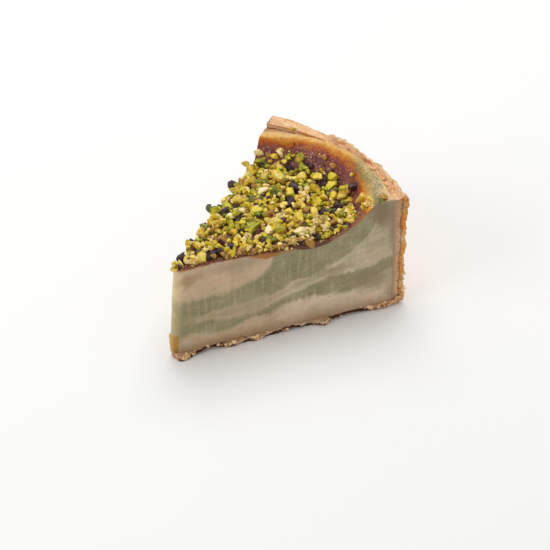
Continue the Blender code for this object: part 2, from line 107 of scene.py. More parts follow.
BLISTER_SPAN = 10 * MM
BLISTER_SWELL = 0.65  # shares of it in broad swells and in fine ones
BLISTER_FINE = 0.45
BLISTER_FINENESS = 2.5
BASE_FLAKE = 1.8 * MM
BASE_FLAKE_SPAN = 6 * MM
BASE_FLAKE_FROM = 9 * MM  # the tip itself is cut clean
FLAKE_SIDES_APART = 40 * MM  # how far along its raggedness the two cuts and the two faces are apart
FLAKE_LEVELS_APART = 3 * MM
NEAR_FLAKE_REACH = 0.3  # share of the way across that the flakes named next go in
NEAR_FLAKES = (  # where the base's edge stands out of the near cut: middle, half length, how far
    (5 * MM, 11 * MM, 1.9 * MM),
    (26 * MM, 6 * MM, 1.7 * MM),
    (38 * MM, 6 * MM, 1.5 * MM),
    (68 * MM, 7 * MM, 1.6 * MM),
    (94 * MM, 5 * MM, 1.0 * MM),
)
UNDERSIDE_LIFT_DEPTH = 9 * MM
UNDERSIDE_LIFTS = (  # places along the near cut where the base has curled up: middle, half length, height
    (16 * MM, 10 * MM, 1.7 * MM),
    (54 * MM, 7 * MM, 1.0 * MM),
    (82 * MM, 13 * MM, 1.4 * MM),
)

# Custard: the sunken floor of its skin, the crest against the crust, and the slope between them.
FILLING_HEIGHT_TIP = 48.7 * MM
FILLING_SAG = 3.0 * MM  # how far the floor sinks from there, between these distances from the centre
SAG_FROM = 22 * MM
SAG_TO = 62 * MM
CREST_HEIGHT_NEAR = 60.0 * MM
CREST_HEIGHT_FAR = 57.2 * MM
CREST_NEAR = 93.5 * MM  # how far from the centre the crest runs
CREST_MIDDLE = 99.0 * MM
CREST_FAR = 93.5 * MM
CREST_BOW = 0.8
CREST_DROP_FROM = 0.375  # share of the way across where the crest begins to lose height
SLOPE_NEAR = 24 * MM  # how long the slope is, by the near cut and further round
SLOPE_ROUND = 9.0 * MM
SLOPE_NEAR_END = 0.22  # share of the way across where the long slope by the near cut has shortened
SLOPE_POWER = 1.6
CREST_SOFTNESS = 0.16
TOP_UNEVEN = 0.45 * MM
TOP_UNEVEN_SPAN = 16 * MM
CUT_UNEVEN = 0.22 * MM
CUT_UNEVEN_SPAN = 14 * MM
CUT_UNEVEN_DEPTH = 6  # it dies out within one part in this many of the way across

# Chopped pistachios: the pieces that stand out, and the ones that fill in between them.
NUT_SEED = 41
NUT_COUNT = 125
NUT_LARGEST = 5.2 * MM
NUT_SMALLEST = 2.8 * MM
NUT_SIZE_POWER = 0.7
NUT_LENGTH = (1.2, 1.5)  # shares of its size, from least to most, that a nut is long, wide and thick
NUT_WIDTH = (0.95, 1.2)
NUT_DEPTH = (0.8, 1.0)
NUT_THICKNESS = 0.75  # and that it is thick once it is cut, on average
NUT_TILT = 0.5
NUT_CUTS = 4  # flat cuts across each, and how far from its middle they pass, as shares of its radius
NUT_CUT_NEAREST = 0.45
NUT_CUT_FARTHEST = 0.8
NUT_TRIES = 10
NUT_CLOSENESS = 0.4  # share of two sizes that their middles keep apart where there is room
NUT_SUNK = 0.15  # share of its size that a nut sits in the custard
NUT_NESTING = 0.45  # and that one lying on others sinks between them
NUT_FIELD_FROM = 4.5 * MM  # how far from the centre the nuts lie
NUT_FIELD_TO_NEAR = 80 * MM
NUT_FIELD_TO_MIDDLE = 94 * MM
NUT_FIELD_TO_FAR = 88 * MM
NUT_FIELD_BOW = 0.6
NUT_EDGE_NEAR = 0.5 * MM
NUT_EDGE_SIZE = 0.25  # share of its size that a nut's middle also keeps from the near cut
NUT_EDGE_MOST = 0.6
NUT_EDGE_SIZE_FAR = 0.2
NUT_OVERHANG_FAR = 0.8 * MM
DISTINCT_NUTS = (  # reach in mm, degrees from the near cut, length in mm, and what shows of the kernel
    (2.0, 33, 3.2, "lime"), (8.6, 42.2, 4.4, "dark"), (13.9, 36.4, 3.4, "lime"),
    (18.5, 50, 4.6, "yellow"), (18.7, 35.7, 5.2, "pale"), (22.1, 23.5, 5.2, "lime"),
    (23.4, 10.3, 4.4, "dark"), (24.3, 35.3, 3.4, "deep"), (26.7, 42, 5.6, "yellow"),
    (27.7, 4.3, 4, "yellow"), (29.1, 36.8, 3.6, "lime"), (29.3, 11.9, 3.6, "dark"),
    (29.4, 25.5, 5.2, "ochre"), (32.3, 45.7, 4.4, "green"), (35.2, 37.7, 5.2, "pale"),
    (38.9, 31.2, 4.8, "lime"), (40, 17.8, 4, "pale"), (42.9, 7.9, 4.4, "dark"), (43, 46, 5, "lime"),
    (43.7, 36.1, 4.2, "pale"), (43.7, 48.9, 3.8, "green"), (44.8, 19.5, 6.6, "deep"),
    (45, 41.1, 4.8, "dark"), (47.1, 35.2, 4.4, "green"), (49.8, 14.6, 4.8, "pale"),
    (50.6, 47.3, 2.4, "dark"), (50.9, 3.3, 3.4, "dark"), (53.5, 12.2, 6, "lime"),
    (54.5, 29.3, 5.2, "lime"), (55, 34.9, 4.4, "yellow"), (55.1, 3.2, 4.2, "yellow"),
    (55.5, 46, 4.6, "yellow"), (55.8, 18.5, 4.6, "yellow"), (56.8, 41.2, 6, "yellow"),
    (57.7, 0.7, 3.2, "dark"), (57.9, 24.1, 4.8, "ochre"), (59.7, 19.2, 5.2, "pale"),
    (60.2, 30.6, 4.6, "yellow"), (61.1, 7.4, 5.2, "cream"), (62.1, 1.2, 5, "ochre"),
    (64.3, 37.3, 4.4, "lime"), (64.8, 14.2, 6, "yellow"), (67.6, 48.2, 4.6, "dark"),
    (67.9, 32.5, 4.2, "yellow"), (68, 35.7, 5.2, "pale"), (69.3, 42.3, 4.6, "pale"),
    (69.9, 7.4, 5.4, "cream"), (70.5, 30.8, 5.6, "green"), (72, 20.5, 4.8, "pale"),
    (73.3, 14.8, 4.4, "pale"), (73.9, 4, 4, "deep"), (74.7, 27, 5, "lime"), (75.7, 12.2, 5, "dark"),
    (76.2, 44.3, 5.2, "yellow"), (77.1, 22.8, 4.6, "pale"), (77.7, 3.3, 4.4, "lime"),
    (78.2, 17.9, 5.8, "lime"), (79.5, 28.4, 5.2, "dark"), (79.6, 35.6, 6, "pale"),
    (80.4, 1.7, 2.8, "dark"), (80.9, 11.7, 4.4, "deep"), (81.7, 8, 4.8, "lime"),
    (81.9, 42, 4.2, "lime"), (83.3, 31.7, 3.8, "pale"), (83.6, 48, 4, "yellow"),
    (84.2, 23, 5, "yellow"), (84.8, 12.9, 4.2, "dark"), (85.9, 42.1, 4.2, "deep"),
    (85.9, 44.1, 4.8, "green"), (87, 37.7, 5, "yellow"), (87.7, 17.8, 4.6, "pale"),
    (87.8, 30.3, 5.4, "yellow"), (88.4, 10.8, 4.2, "yellow"), (90.1, 42.8, 3.4, "ochre"),
    (90.4, 15.9, 5.2, "yellow"), (90.8, 20.9, 6, "yellow"), (91.2, 26.2, 5.2, "lime"),
    (91.3, 31.6, 4.4, "lime"), (92, 23.6, 3.4, "dark"), (93, 9.5, 4.8, "cream"), (93, 16.3, 5, "lime"),
    (93.7, 22, 4.6, "lime"), (94, -0.2, 3.2, "deep"), (94.3, 14.4, 4.4, "dark"),
    (96.1, 1.3, 3.4, "ochre"), (96.1, 23.6, 3, "ochre"), (96.5, 16.6, 2.2, "cream"),
    (96.6, 27.1, 3.2, "ochre"), (101.9, 39, 3, "yellow"),
)


def linear(hex_colour):
    """An sRGB hex value as linear RGBA."""
    parts = [int(hex_colour[at:at + 2], 16) / 255 for at in (0, 2, 4)]
    return (*[part / 12.92 if part <= 0.04045 else ((part + 0.055) / 1.055) ** 2.4 for part in parts], 1.0)


def colour_setting(name, description, hex_colour):
    """A colour that a user can change."""
    return FloatVectorProperty(
        name=name, description=description, subtype="COLOR", size=4, default=linear(hex_colour)
    )


class TartSettings(bpy.types.PropertyGroup):
    """The sizes, amounts and colours that a user would change"""

    custard_step: FloatProperty(
        name="Custard mesh", description="Size of the custard's cells", default=0.75 * MM, unit="LENGTH"
    )
    crust_step: FloatProperty(
        name="Crust mesh", description="Size of the crust's cells", default=0.5 * MM, unit="LENGTH"
    )
    flaking: FloatProperty(
        name="Flaking", description="Depth of the crust's fine flakes", default=0.34 * MM, unit="LENGTH"
    )
    small_nuts: IntProperty(
        name="Small pistachio pieces", description="Pieces too small for the solids", default=330
    )
    crumbs: IntProperty(
        name="Pistachio crumbs", description="Crumbs between the pieces", default=1900
    )
    flakes: IntProperty(
        name="Flakes", description="Loose-edged flakes that stand off the crust", default=170
    )
    pastry_crumbs: IntProperty(
        name="Pastry crumbs",
        description="Crumbs that cling to the base's cut edges and the wall's lower corners",
        default=220,
    )
    vanilla: colour_setting("Vanilla custard", "The pale of the marbling", "D3B896")
    pistachio: colour_setting("Pistachio custard", "The green of the marbling", "9D946B")
    skin: colour_setting("Browned skin", "The custard's top where it is darkest", "965248")
    amber: colour_setting("Amber skin", "The custard's top half way up its slope", "CA6206")
    crest: colour_setting("Pale skin", "The custard's top along its crest", "E8BC70")
    pastry: colour_setting("Pastry", "The crust's outside", "E4A862")
    rim: colour_setting("Pastry rim", "The crust's palest leaves", "FFDCB0")
    floor: colour_setting("Floor", "The matt board under the slice", "F9F9F8")
    key_power: FloatProperty(
        name="Key light", description="Power of the softbox overhead", default=7.7, unit="POWER"
    )
    fill_power: FloatProperty(
        name="Fill light", description="Power of the softbox by the tip", default=2.4, unit="POWER"
    )
    surroundings: FloatProperty(
        name="Surroundings", description="Brightness of the white room", default=0.46
    )


# Small helpers: numbers, shader nodes and objects.


def smooth(share):
    """An ease from 0 to 1."""
    share = min(max(share, 0.0), 1.0)
    return share * share * (3 - 2 * share)


def blend(first, second, share):
    """What lies that share of the way from the first to the second."""
    return first + (second - first) * share


def soft_minimum(value, cap, softness):
    """The smaller of the two, with the corner between them rounded off."""
    share = min(max(0.5 + 0.5 * (cap - value) / softness, 0.0), 1.0)
    return blend(cap, value, share) - softness * share * (1 - share)


def rumple(x, y, z, span):
    """Smooth unevenness between about -1 and 1, whose swells are span across.

    A bare number in place of a coordinate only keeps one unevenness from being like another.
    """
    return noise.noise(Vector((x, y, z)) / span)


def add(tree, kind, *values, output=0, **settings):
    """Adds a shader node, fills its inputs in their order but for each None, and returns an output."""
    made = tree.nodes.new("ShaderNode" + kind)
    for name, value in settings.items():
        setattr(made, name, value)
    for socket, value in zip(made.inputs, values):
        if isinstance(value, bpy.types.NodeSocket):
            tree.links.new(value, socket)
        elif value is not None:
            socket.default_value = value
    return made.outputs[output]


def ramp(tree, value, stops):
    """A colour that runs through the stops, each a value and a linear colour, as value rises."""
    low, high = stops[0][0], stops[-1][0]
    colour = add(tree, "ValToRGB", add(tree, "MapRange", value, low, high))
    elements = colour.node.color_ramp.elements
    elements[0].color, elements[1].color = stops[0][1], stops[-1][1]
    for place, stop_colour in stops[1:-1]:
        elements.new((place - low) / (high - low)).color = stop_colour
    return colour


def tinged(tree, colour, other, cause, start, full, most=1.0, within=None, **settings):
    """The colour, mixed with the other by 0 where the cause is at start, up to most where it is at full."""
    share = add(tree, "MapRange", cause, start, full, 0.0, most, **settings)
    if within is not None:
        share = add(tree, "Math", share, within, operation="MULTIPLY")
    return add(tree, "MixRGB", share, colour, other)


def patch(tree, reach, height, middle, half_sizes, most):
    """A soft-edged oval patch on a cut, from most in its middle to 0: middle and half_sizes in mm."""
    along = add(tree, "Math", reach, middle[0], operation="SUBTRACT")
    along = add(tree, "Math", along, half_sizes[0], operation="DIVIDE")
    upward = add(tree, "Math", height, middle[1], operation="SUBTRACT")
    upward = add(tree, "Math", upward, half_sizes[1], operation="DIVIDE")
    apart = add(tree, "CombineXYZ", along, upward)
    apart = add(tree, "VectorMath", apart, operation="LENGTH", output="Value")
    return add(tree, "MapRange", apart, 1.0, 0.2, 0.0, most, interpolation_type="SMOOTHSTEP")


def new_material(name, **uniform):
    """A material, its tree, its shader with these uniform values, and the slice's own millimetres."""
    material = bpy.data.materials.new(name)
    material.use_nodes = True
    tree = material.node_tree
    shader = tree.nodes["Principled BSDF"]
    for socket, value in uniform.items():
        shader.inputs[socket.replace("_", " ")].default_value = value
    spot = add(tree, "TexCoord", output="Object")
    millimetres = add(tree, "Mapping", spot, None, None, (1 / MM, 1 / MM, 1 / MM))
    return material, tree, shader, millimetres


def make_thing(name, shape, materials):
    """Turns a bmesh into an object with these materials."""
    mesh = bpy.data.meshes.new(name)
    shape.to_mesh(mesh)
    shape.free()
    thing = bpy.data.objects.new(name, mesh)
    bpy.context.scene.collection.objects.link(thing)
    for material in materials:
        mesh.materials.append(material)
    return thing


def make_piece(name, shape, materials, replaced):
    """Makes a piece that rides on the part's one body, in the place of one of its nodes."""
    piece = make_thing(name, shape, materials)
    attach(piece, "root")
    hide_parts(replaced)


# The form, about the ring's centre. Across runs from 0 at the near cut to 1 at the far one.


def tip_start(height):
    """How far from the centre the tip begins."""
    return blend(TIP_START_FOOT, TIP_START_TOP, height / FILLING_HEIGHT_TIP)


def plan(reach, across, height):
    """The (x, y) of a spot, by its distance from the ring's centre and its share of the way across."""
    angle = HALF_ANGLE * (2 * across - 1)
    on_arc = Vector((math.cos(angle), math.sin(angle))) * reach
    near = Vector((math.cos(HALF_ANGLE), -math.sin(HALF_ANGLE))) * reach
    far = Vector((math.cos(HALF_ANGLE), math.sin(HALF_ANGLE))) * reach
    spot = near.lerp(far, across).lerp(on_arc, smooth(reach / ARC_FROM))
    width = blend(TIP_WIDTH_FOOT, TIP_WIDTH_TOP, height / FILLING_HEIGHT_TIP)
    roundness = max(1 - (reach - TIP_START_FOOT) / TIP_ROUND, 0.0)
    pinch = TIP_PINCH * max(1 - height / TIP_LEDGE_HEIGHT, 0.0) * roundness
    spot += FAR_OUTWARD.xy * (across * (width * (1 - reach / RING_RADIUS) - pinch))
    spot.x -= TIP_BULGE * 4 * across * (1 - across) * roundness
    return spot


def wall_inner(height, across):
    """How far from the centre the pastry wall begins."""
    share = (height / CRUST_HEIGHT) ** 2
    lean = WALL_INNER_LEAN - WALL_INNER_EASE * math.sin(math.pi * across)
    return WALL_INNER_FOOT - lean * share


def wall_outer(height, across):
    """The blistered outside of the pastry wall, rounded at its foot and at its rim."""
    swell = rumple(across * WEDGE_ANGLE * RING_RADIUS, height, 0.31, BLISTER_SPAN)
    fine = rumple(across * WEDGE_ANGLE * RING_RADIUS, height, 0.77, BLISTER_SPAN / BLISTER_FINENESS)
    reach = RING_RADIUS + BLISTER * (BLISTER_SWELL * swell + BLISTER_FINE * fine)
    below = max(1 - height / FOOT_ROUNDING, 0.0)
    above = max(1 - (CRUST_HEIGHT - height) / RIM_ROUNDING, 0.0)
    return reach - FOOT_ROUNDING * FOOT_SHARE * below**2 - RIM_ROUNDING * RIM_SHARE * above**2


def rim_height(layer, across):
    """The pastry's torn top edge, by its share of the way inwards: thin leaves that end unevenly."""
    along = across * WEDGE_ANGLE * RING_RADIUS
    leaf = min(math.floor(layer * LEAVES), LEAVES - 1)
    between = abs(math.cos(math.pi * layer * LEAVES)) if 0 < layer < 1 else 0.5
    slow = rumple(along, 0.0, 0.12, RIM_UNEVEN_SPAN)
    own = rumple(along, leaf * LEAF_APART, 0.55, LEAF_SPAN)
    sloped = smooth((across - RIM_SLOPE_FROM) / (RIM_SLOPE_TO - RIM_SLOPE_FROM))
    height = CRUST_HEIGHT + RIM_UNEVEN * slow - RIM_SLOPE * layer * sloped
    if leaf == 0:
        height += TORN_LEAF * smooth((TORN_LEAF_END - across) * TORN_LEAF_STEEPNESS)
    return height + LEAF_STEP * (LEAF_UNEVEN * own - LEAF_GAP * between + LEAF_LIFT)


def underside(reach, across):
    """The height of the base's underside: flat, but for curled stretches along the near cut."""
    inwards = across * WEDGE_ANGLE * max(reach, TIP_ROUND)
    depth = 1 - smooth(inwards / UNDERSIDE_LIFT_DEPTH)
    lift = 0.0
    for middle, half_length, height in UNDERSIDE_LIFTS:
        lift = max(lift, height * (1 - smooth(abs(reach - middle) / half_length)))
    return min(lift * depth, BASE_TOP - BASE_THINNEST)


def filling_climb(reach, across):
    """How far up its slope the skin is, 0 on the sunken floor and 1 on the crest, and how far past that."""
    bow = math.sin(math.pi * across) ** CREST_BOW if 0 < across < 1 else 0.0
    crest = blend(CREST_NEAR, CREST_FAR, across) + (CREST_MIDDLE - CREST_NEAR) * bow
    slope = blend(SLOPE_NEAR, SLOPE_ROUND, smooth(across / SLOPE_NEAR_END))
    climb = max((reach - crest + slope) / slope, 0.0) ** SLOPE_POWER
    return soft_minimum(climb, 1.0, CREST_SOFTNESS), reach - crest


def filling_top(reach, across):
    """The height of the custard's skin: a sunken floor that climbs to a crest against the crust."""
    floor = FILLING_HEIGHT_TIP - FILLING_SAG * smooth((reach - SAG_FROM) / (SAG_TO - SAG_FROM))
    drop = smooth((across - CREST_DROP_FROM) / (1 - CREST_DROP_FROM))
    crest_height = blend(CREST_HEIGHT_NEAR, CREST_HEIGHT_FAR, drop)
    rise, _ = filling_climb(reach, across)
    x, y = plan(reach, across, FILLING_HEIGHT_TIP)
    uneven = TOP_UNEVEN * rumple(x, y, 0.4, TOP_UNEVEN_SPAN)
    return floor + (crest_height - floor) * rise + uneven


def cut_waver(reach, across, height):
    """The slight unevenness that the knife leaves, in metres out of the near and the far cut."""
    near = 1 - smooth(across * CUT_UNEVEN_DEPTH)
    far = 1 - smooth((1 - across) * CUT_UNEVEN_DEPTH)
    waver = rumple(reach, across, height, CUT_UNEVEN_SPAN)
    return CUT_UNEVEN * waver * (far - near)


def placed(reach, across, height, proud=0.0):
    """A point of the slice, which stands proud of the nearer cut by that much as well as its waver."""
    spot = plan(reach, across, height)
    side = 1 if across > 0.5 else -1
    outward = Vector((-math.sin(HALF_ANGLE), side * math.cos(HALF_ANGLE)))
    spot += outward * (side * cut_waver(reach, across, height) + proud)
    return Vector((spot.x, spot.y, height))


SHARPEST_ROUNDED = math.radians(38)  # edges between faces that meet more sharply are creases


def block_skin(counts, place, value_names):
    """A closed skin round a block of cells. place gives each corner's point and its values, by name."""
    shape = bmesh.new()
    layers = [shape.verts.layers.float.new(name) for name in value_names]
    made = {}

    def vertex(cell):
        if cell not in made:
            point, values = place(*cell)
            made[cell] = shape.verts.new(point + RING_CENTRE)
            for layer, value in zip(layers, values):
                made[cell][layer] = value
        return made[cell]

    for axis in range(3):
        first, second = (axis + 1) % 3, (axis + 2) % 3
        for end in (0, counts[axis]):
            for a in range(counts[first]):
                for b in range(counts[second]):
                    corners = []
                    for step_a, step_b in ((0, 0), (1, 0), (1, 1), (0, 1)):
                        cell = [0, 0, 0]
                        cell[axis], cell[first], cell[second] = end, a + step_a, b + step_b
                        corners.append(vertex(tuple(cell)))
                    face = shape.faces.new(corners if end else corners[::-1])
                    face.smooth = True
                    face.material_index = 1 if axis == 2 and end else 0
    bmesh.ops.recalc_face_normals(shape, faces=shape.faces[:])
    for edge in shape.edges:
        edge.smooth = edge.calc_face_angle(0) < SHARPEST_ROUNDED
    return shape


# Custard: how its mesh departs from the solid, and its marbling on the near cut, as (reach, height)
# in mm along each edge between the two custards.
TIP_ROUNDING = (1.0 * MM, 0.45 * MM, 0.12 * MM)  # that the first rows draw back from the near cut
TIP_ROUNDING_MOST = 0.4  # and the largest share of the slice's width that they may
TIP_ROWS = 3  # over which the tip's own value fades from 1 to 0
ON_TIP = 0.9  # above this value the tip's upright edges are rounded, however sharp they are
KNIFE_MARK = 0.06 * MM
KNIFE_MARK_SPAN = 3 * MM
KNIFE_MARK_UPRIGHT = 0.15  # how slowly the marks change upwards, as a share of how they do outwards
SKIN_WRINKLE = 0.2 * MM
SKIN_WRINKLE_SPANS = (4.5 * MM, 1.6 * MM)
CRACK_FROM = 0.78  # share of the way across where the custard has come off the crust
CRACK_OPENING = 0.08  # and the share over which the crack opens
CRACK_WIDTH = 1.1 * MM
CRACK_DEPTH = 5 * MM
SEAM_OVERLAP = 0.25 * MM  # by which the custard runs into the pastry that it baked onto
CURVE_REACH = 110  # mm that the curves below span, outwards and upwards
CURVE_HEIGHT = 64
UPPER_BAND_TOP = (
    (0, 30.4), (14, 30.2), (22, 30.8), (28, 31.3), (36, 33.2), (41.5, 37), (45, 42), (48, 50), (110, 64),
)
UPPER_BAND_FOOT = (
    (0, 21.6), (22, 21.6), (28, 21.7), (36, 22.6), (44, 23.6), (52, 25.8), (60, 28.2), (67, 29.6),
    (73, 31.3), (77, 33.4), (81.5, 36.4), (85.7, 40), (89, 44), (91.5, 48.2), (93.5, 53), (95, 62),
    (110, 64),
)
LOWER_BAND_TOP = (
    (0, 18.6), (14, 18.2), (20, 16.6), (28, 15.4), (36, 15.6), (44, 18.2), (52, 20.2), (60, 22.4),
    (68, 25.2), (76, 26.4), (80, 26.2), (84, 25), (90, 25.8), (94, 27.2), (98, 28.4), (110, 29),
)
LOWER_BAND_FOOT = (
    (0, 11.2), (8, 11), (14, 10.4), (20, 9.4), (28, 9.8), (33, 12), (37, 13.6), (44, 13.8), (52, 16),
    (61, 17.2), (66, 16.8), (73, 14.8), (81, 14), (86, 14.8), (90, 17), (94, 19.6), (98, 21), (110, 22),
)


def marbling(tree, millimetres):
    """How green the custard is, 0 in the vanilla and 1 in the pistachio, all through the slice.

    The bands follow the near cut's edges, sway further in, and fray where one custard ran into the other
    and where the knife dragged them down.
    """
    reach = add(tree, "Attribute", attribute_name="reach_mm", output="Fac")
    across = add(tree, "Attribute", attribute_name="across", output="Fac")
    height = add(tree, "SeparateXYZ", millimetres, output="Z")
    sway = add(tree, "TexNoise", millimetres, None, 1 / 42, 1.0)
    sway = add(tree, "MapRange", sway, 0.0, 1.0, -19.0, 19.0)
    inside = add(tree, "MapRange", across, 0.03, 0.4, interpolation_type="SMOOTHSTEP")
    broad = add(tree, "TexNoise", millimetres, None, 1 / 10, 2.0, 0.5)
    fine = add(tree, "TexNoise", millimetres, None, 1 / 2.4, 4.0, 0.65)
    drawn_down = add(tree, "Mapping", millimetres, None, None, (0.5, 0.5, 0.06))
    dragged = add(tree, "TexNoise", drawn_down, None, 1.0, 3.0)
    height = add(tree, "Math", sway, inside, height, operation="MULTIPLY_ADD")
    for unevenness, most in ((broad, 5.0), (fine, 3.0), (dragged, 2.4)):
        height = add(tree, "Math", unevenness, most, height, operation="MULTIPLY_ADD")
    height = add(tree, "Math", height, 5.2, operation="SUBTRACT")
    share = add(tree, "Math", reach, CURVE_REACH, operation="DIVIDE")
    heights = []
    for edge in (UPPER_BAND_TOP, UPPER_BAND_FOOT, LOWER_BAND_TOP, LOWER_BAND_FOOT):
        level = add(tree, "FloatCurve", None, share)
        curve = level.node.mapping.curves[0]
        curve.points[0].location = (edge[0][0] / CURVE_REACH, edge[0][1] / CURVE_HEIGHT)
        curve.points[1].location = (edge[-1][0] / CURVE_REACH, edge[-1][1] / CURVE_HEIGHT)
        for edge_reach, edge_height in edge[1:-1]:
            curve.points.new(edge_reach / CURVE_REACH, edge_height / CURVE_HEIGHT)
        level.node.mapping.update()
        level = add(tree, "Math", level, CURVE_HEIGHT, operation="MULTIPLY")
        heights.append(add(tree, "Math", height, level, operation="SUBTRACT"))
    bands = []
    for under_top, over_foot in (heights[0:2], heights[2:4]):
        below = add(tree, "MapRange", under_top, 2.1, -2.1, interpolation_type="SMOOTHSTEP")
        above = add(tree, "MapRange", over_foot, -2.1, 2.1, interpolation_type="SMOOTHSTEP")
        bands.append(add(tree, "Math", below, above, operation="MULTIPLY"))
    green = add(tree, "Math", *bands, operation="MAXIMUM")
    # Between the bands the vanilla took on some green.
    between = add(tree, "MapRange", heights[1], 2.0, -1.0, 0.0, 0.5)
    between = add(tree, "Math", between, add(tree, "MapRange", heights[2], -1.0, 2.0), operation="MULTIPLY")
    green = add(tree, "Math", green, between, operation="MAXIMUM")
    # Threads of each custard in the other, drawn out along the bands.
    drawn_out = add(tree, "Math", reach, 1 / 14, operation="MULTIPLY")
    tilted = add(tree, "Math", reach, -0.2, height, operation="MULTIPLY_ADD")
    tilted = add(tree, "Math", tilted, 1 / 2.4, operation="MULTIPLY")
    inwards = add(tree, "Math", across, 4.0, operation="MULTIPLY")
    threads = add(tree, "CombineXYZ", drawn_out, inwards, tilted)
    threads = add(tree, "TexNoise", threads, None, 1.0, 3.0, 0.6)
    threads = add(tree, "MapRange", threads, 0.3, 0.7, -0.24, 0.24)
    green = add(tree, "Math", green, threads, operation="ADD", use_clamp=True)
    return green, fine


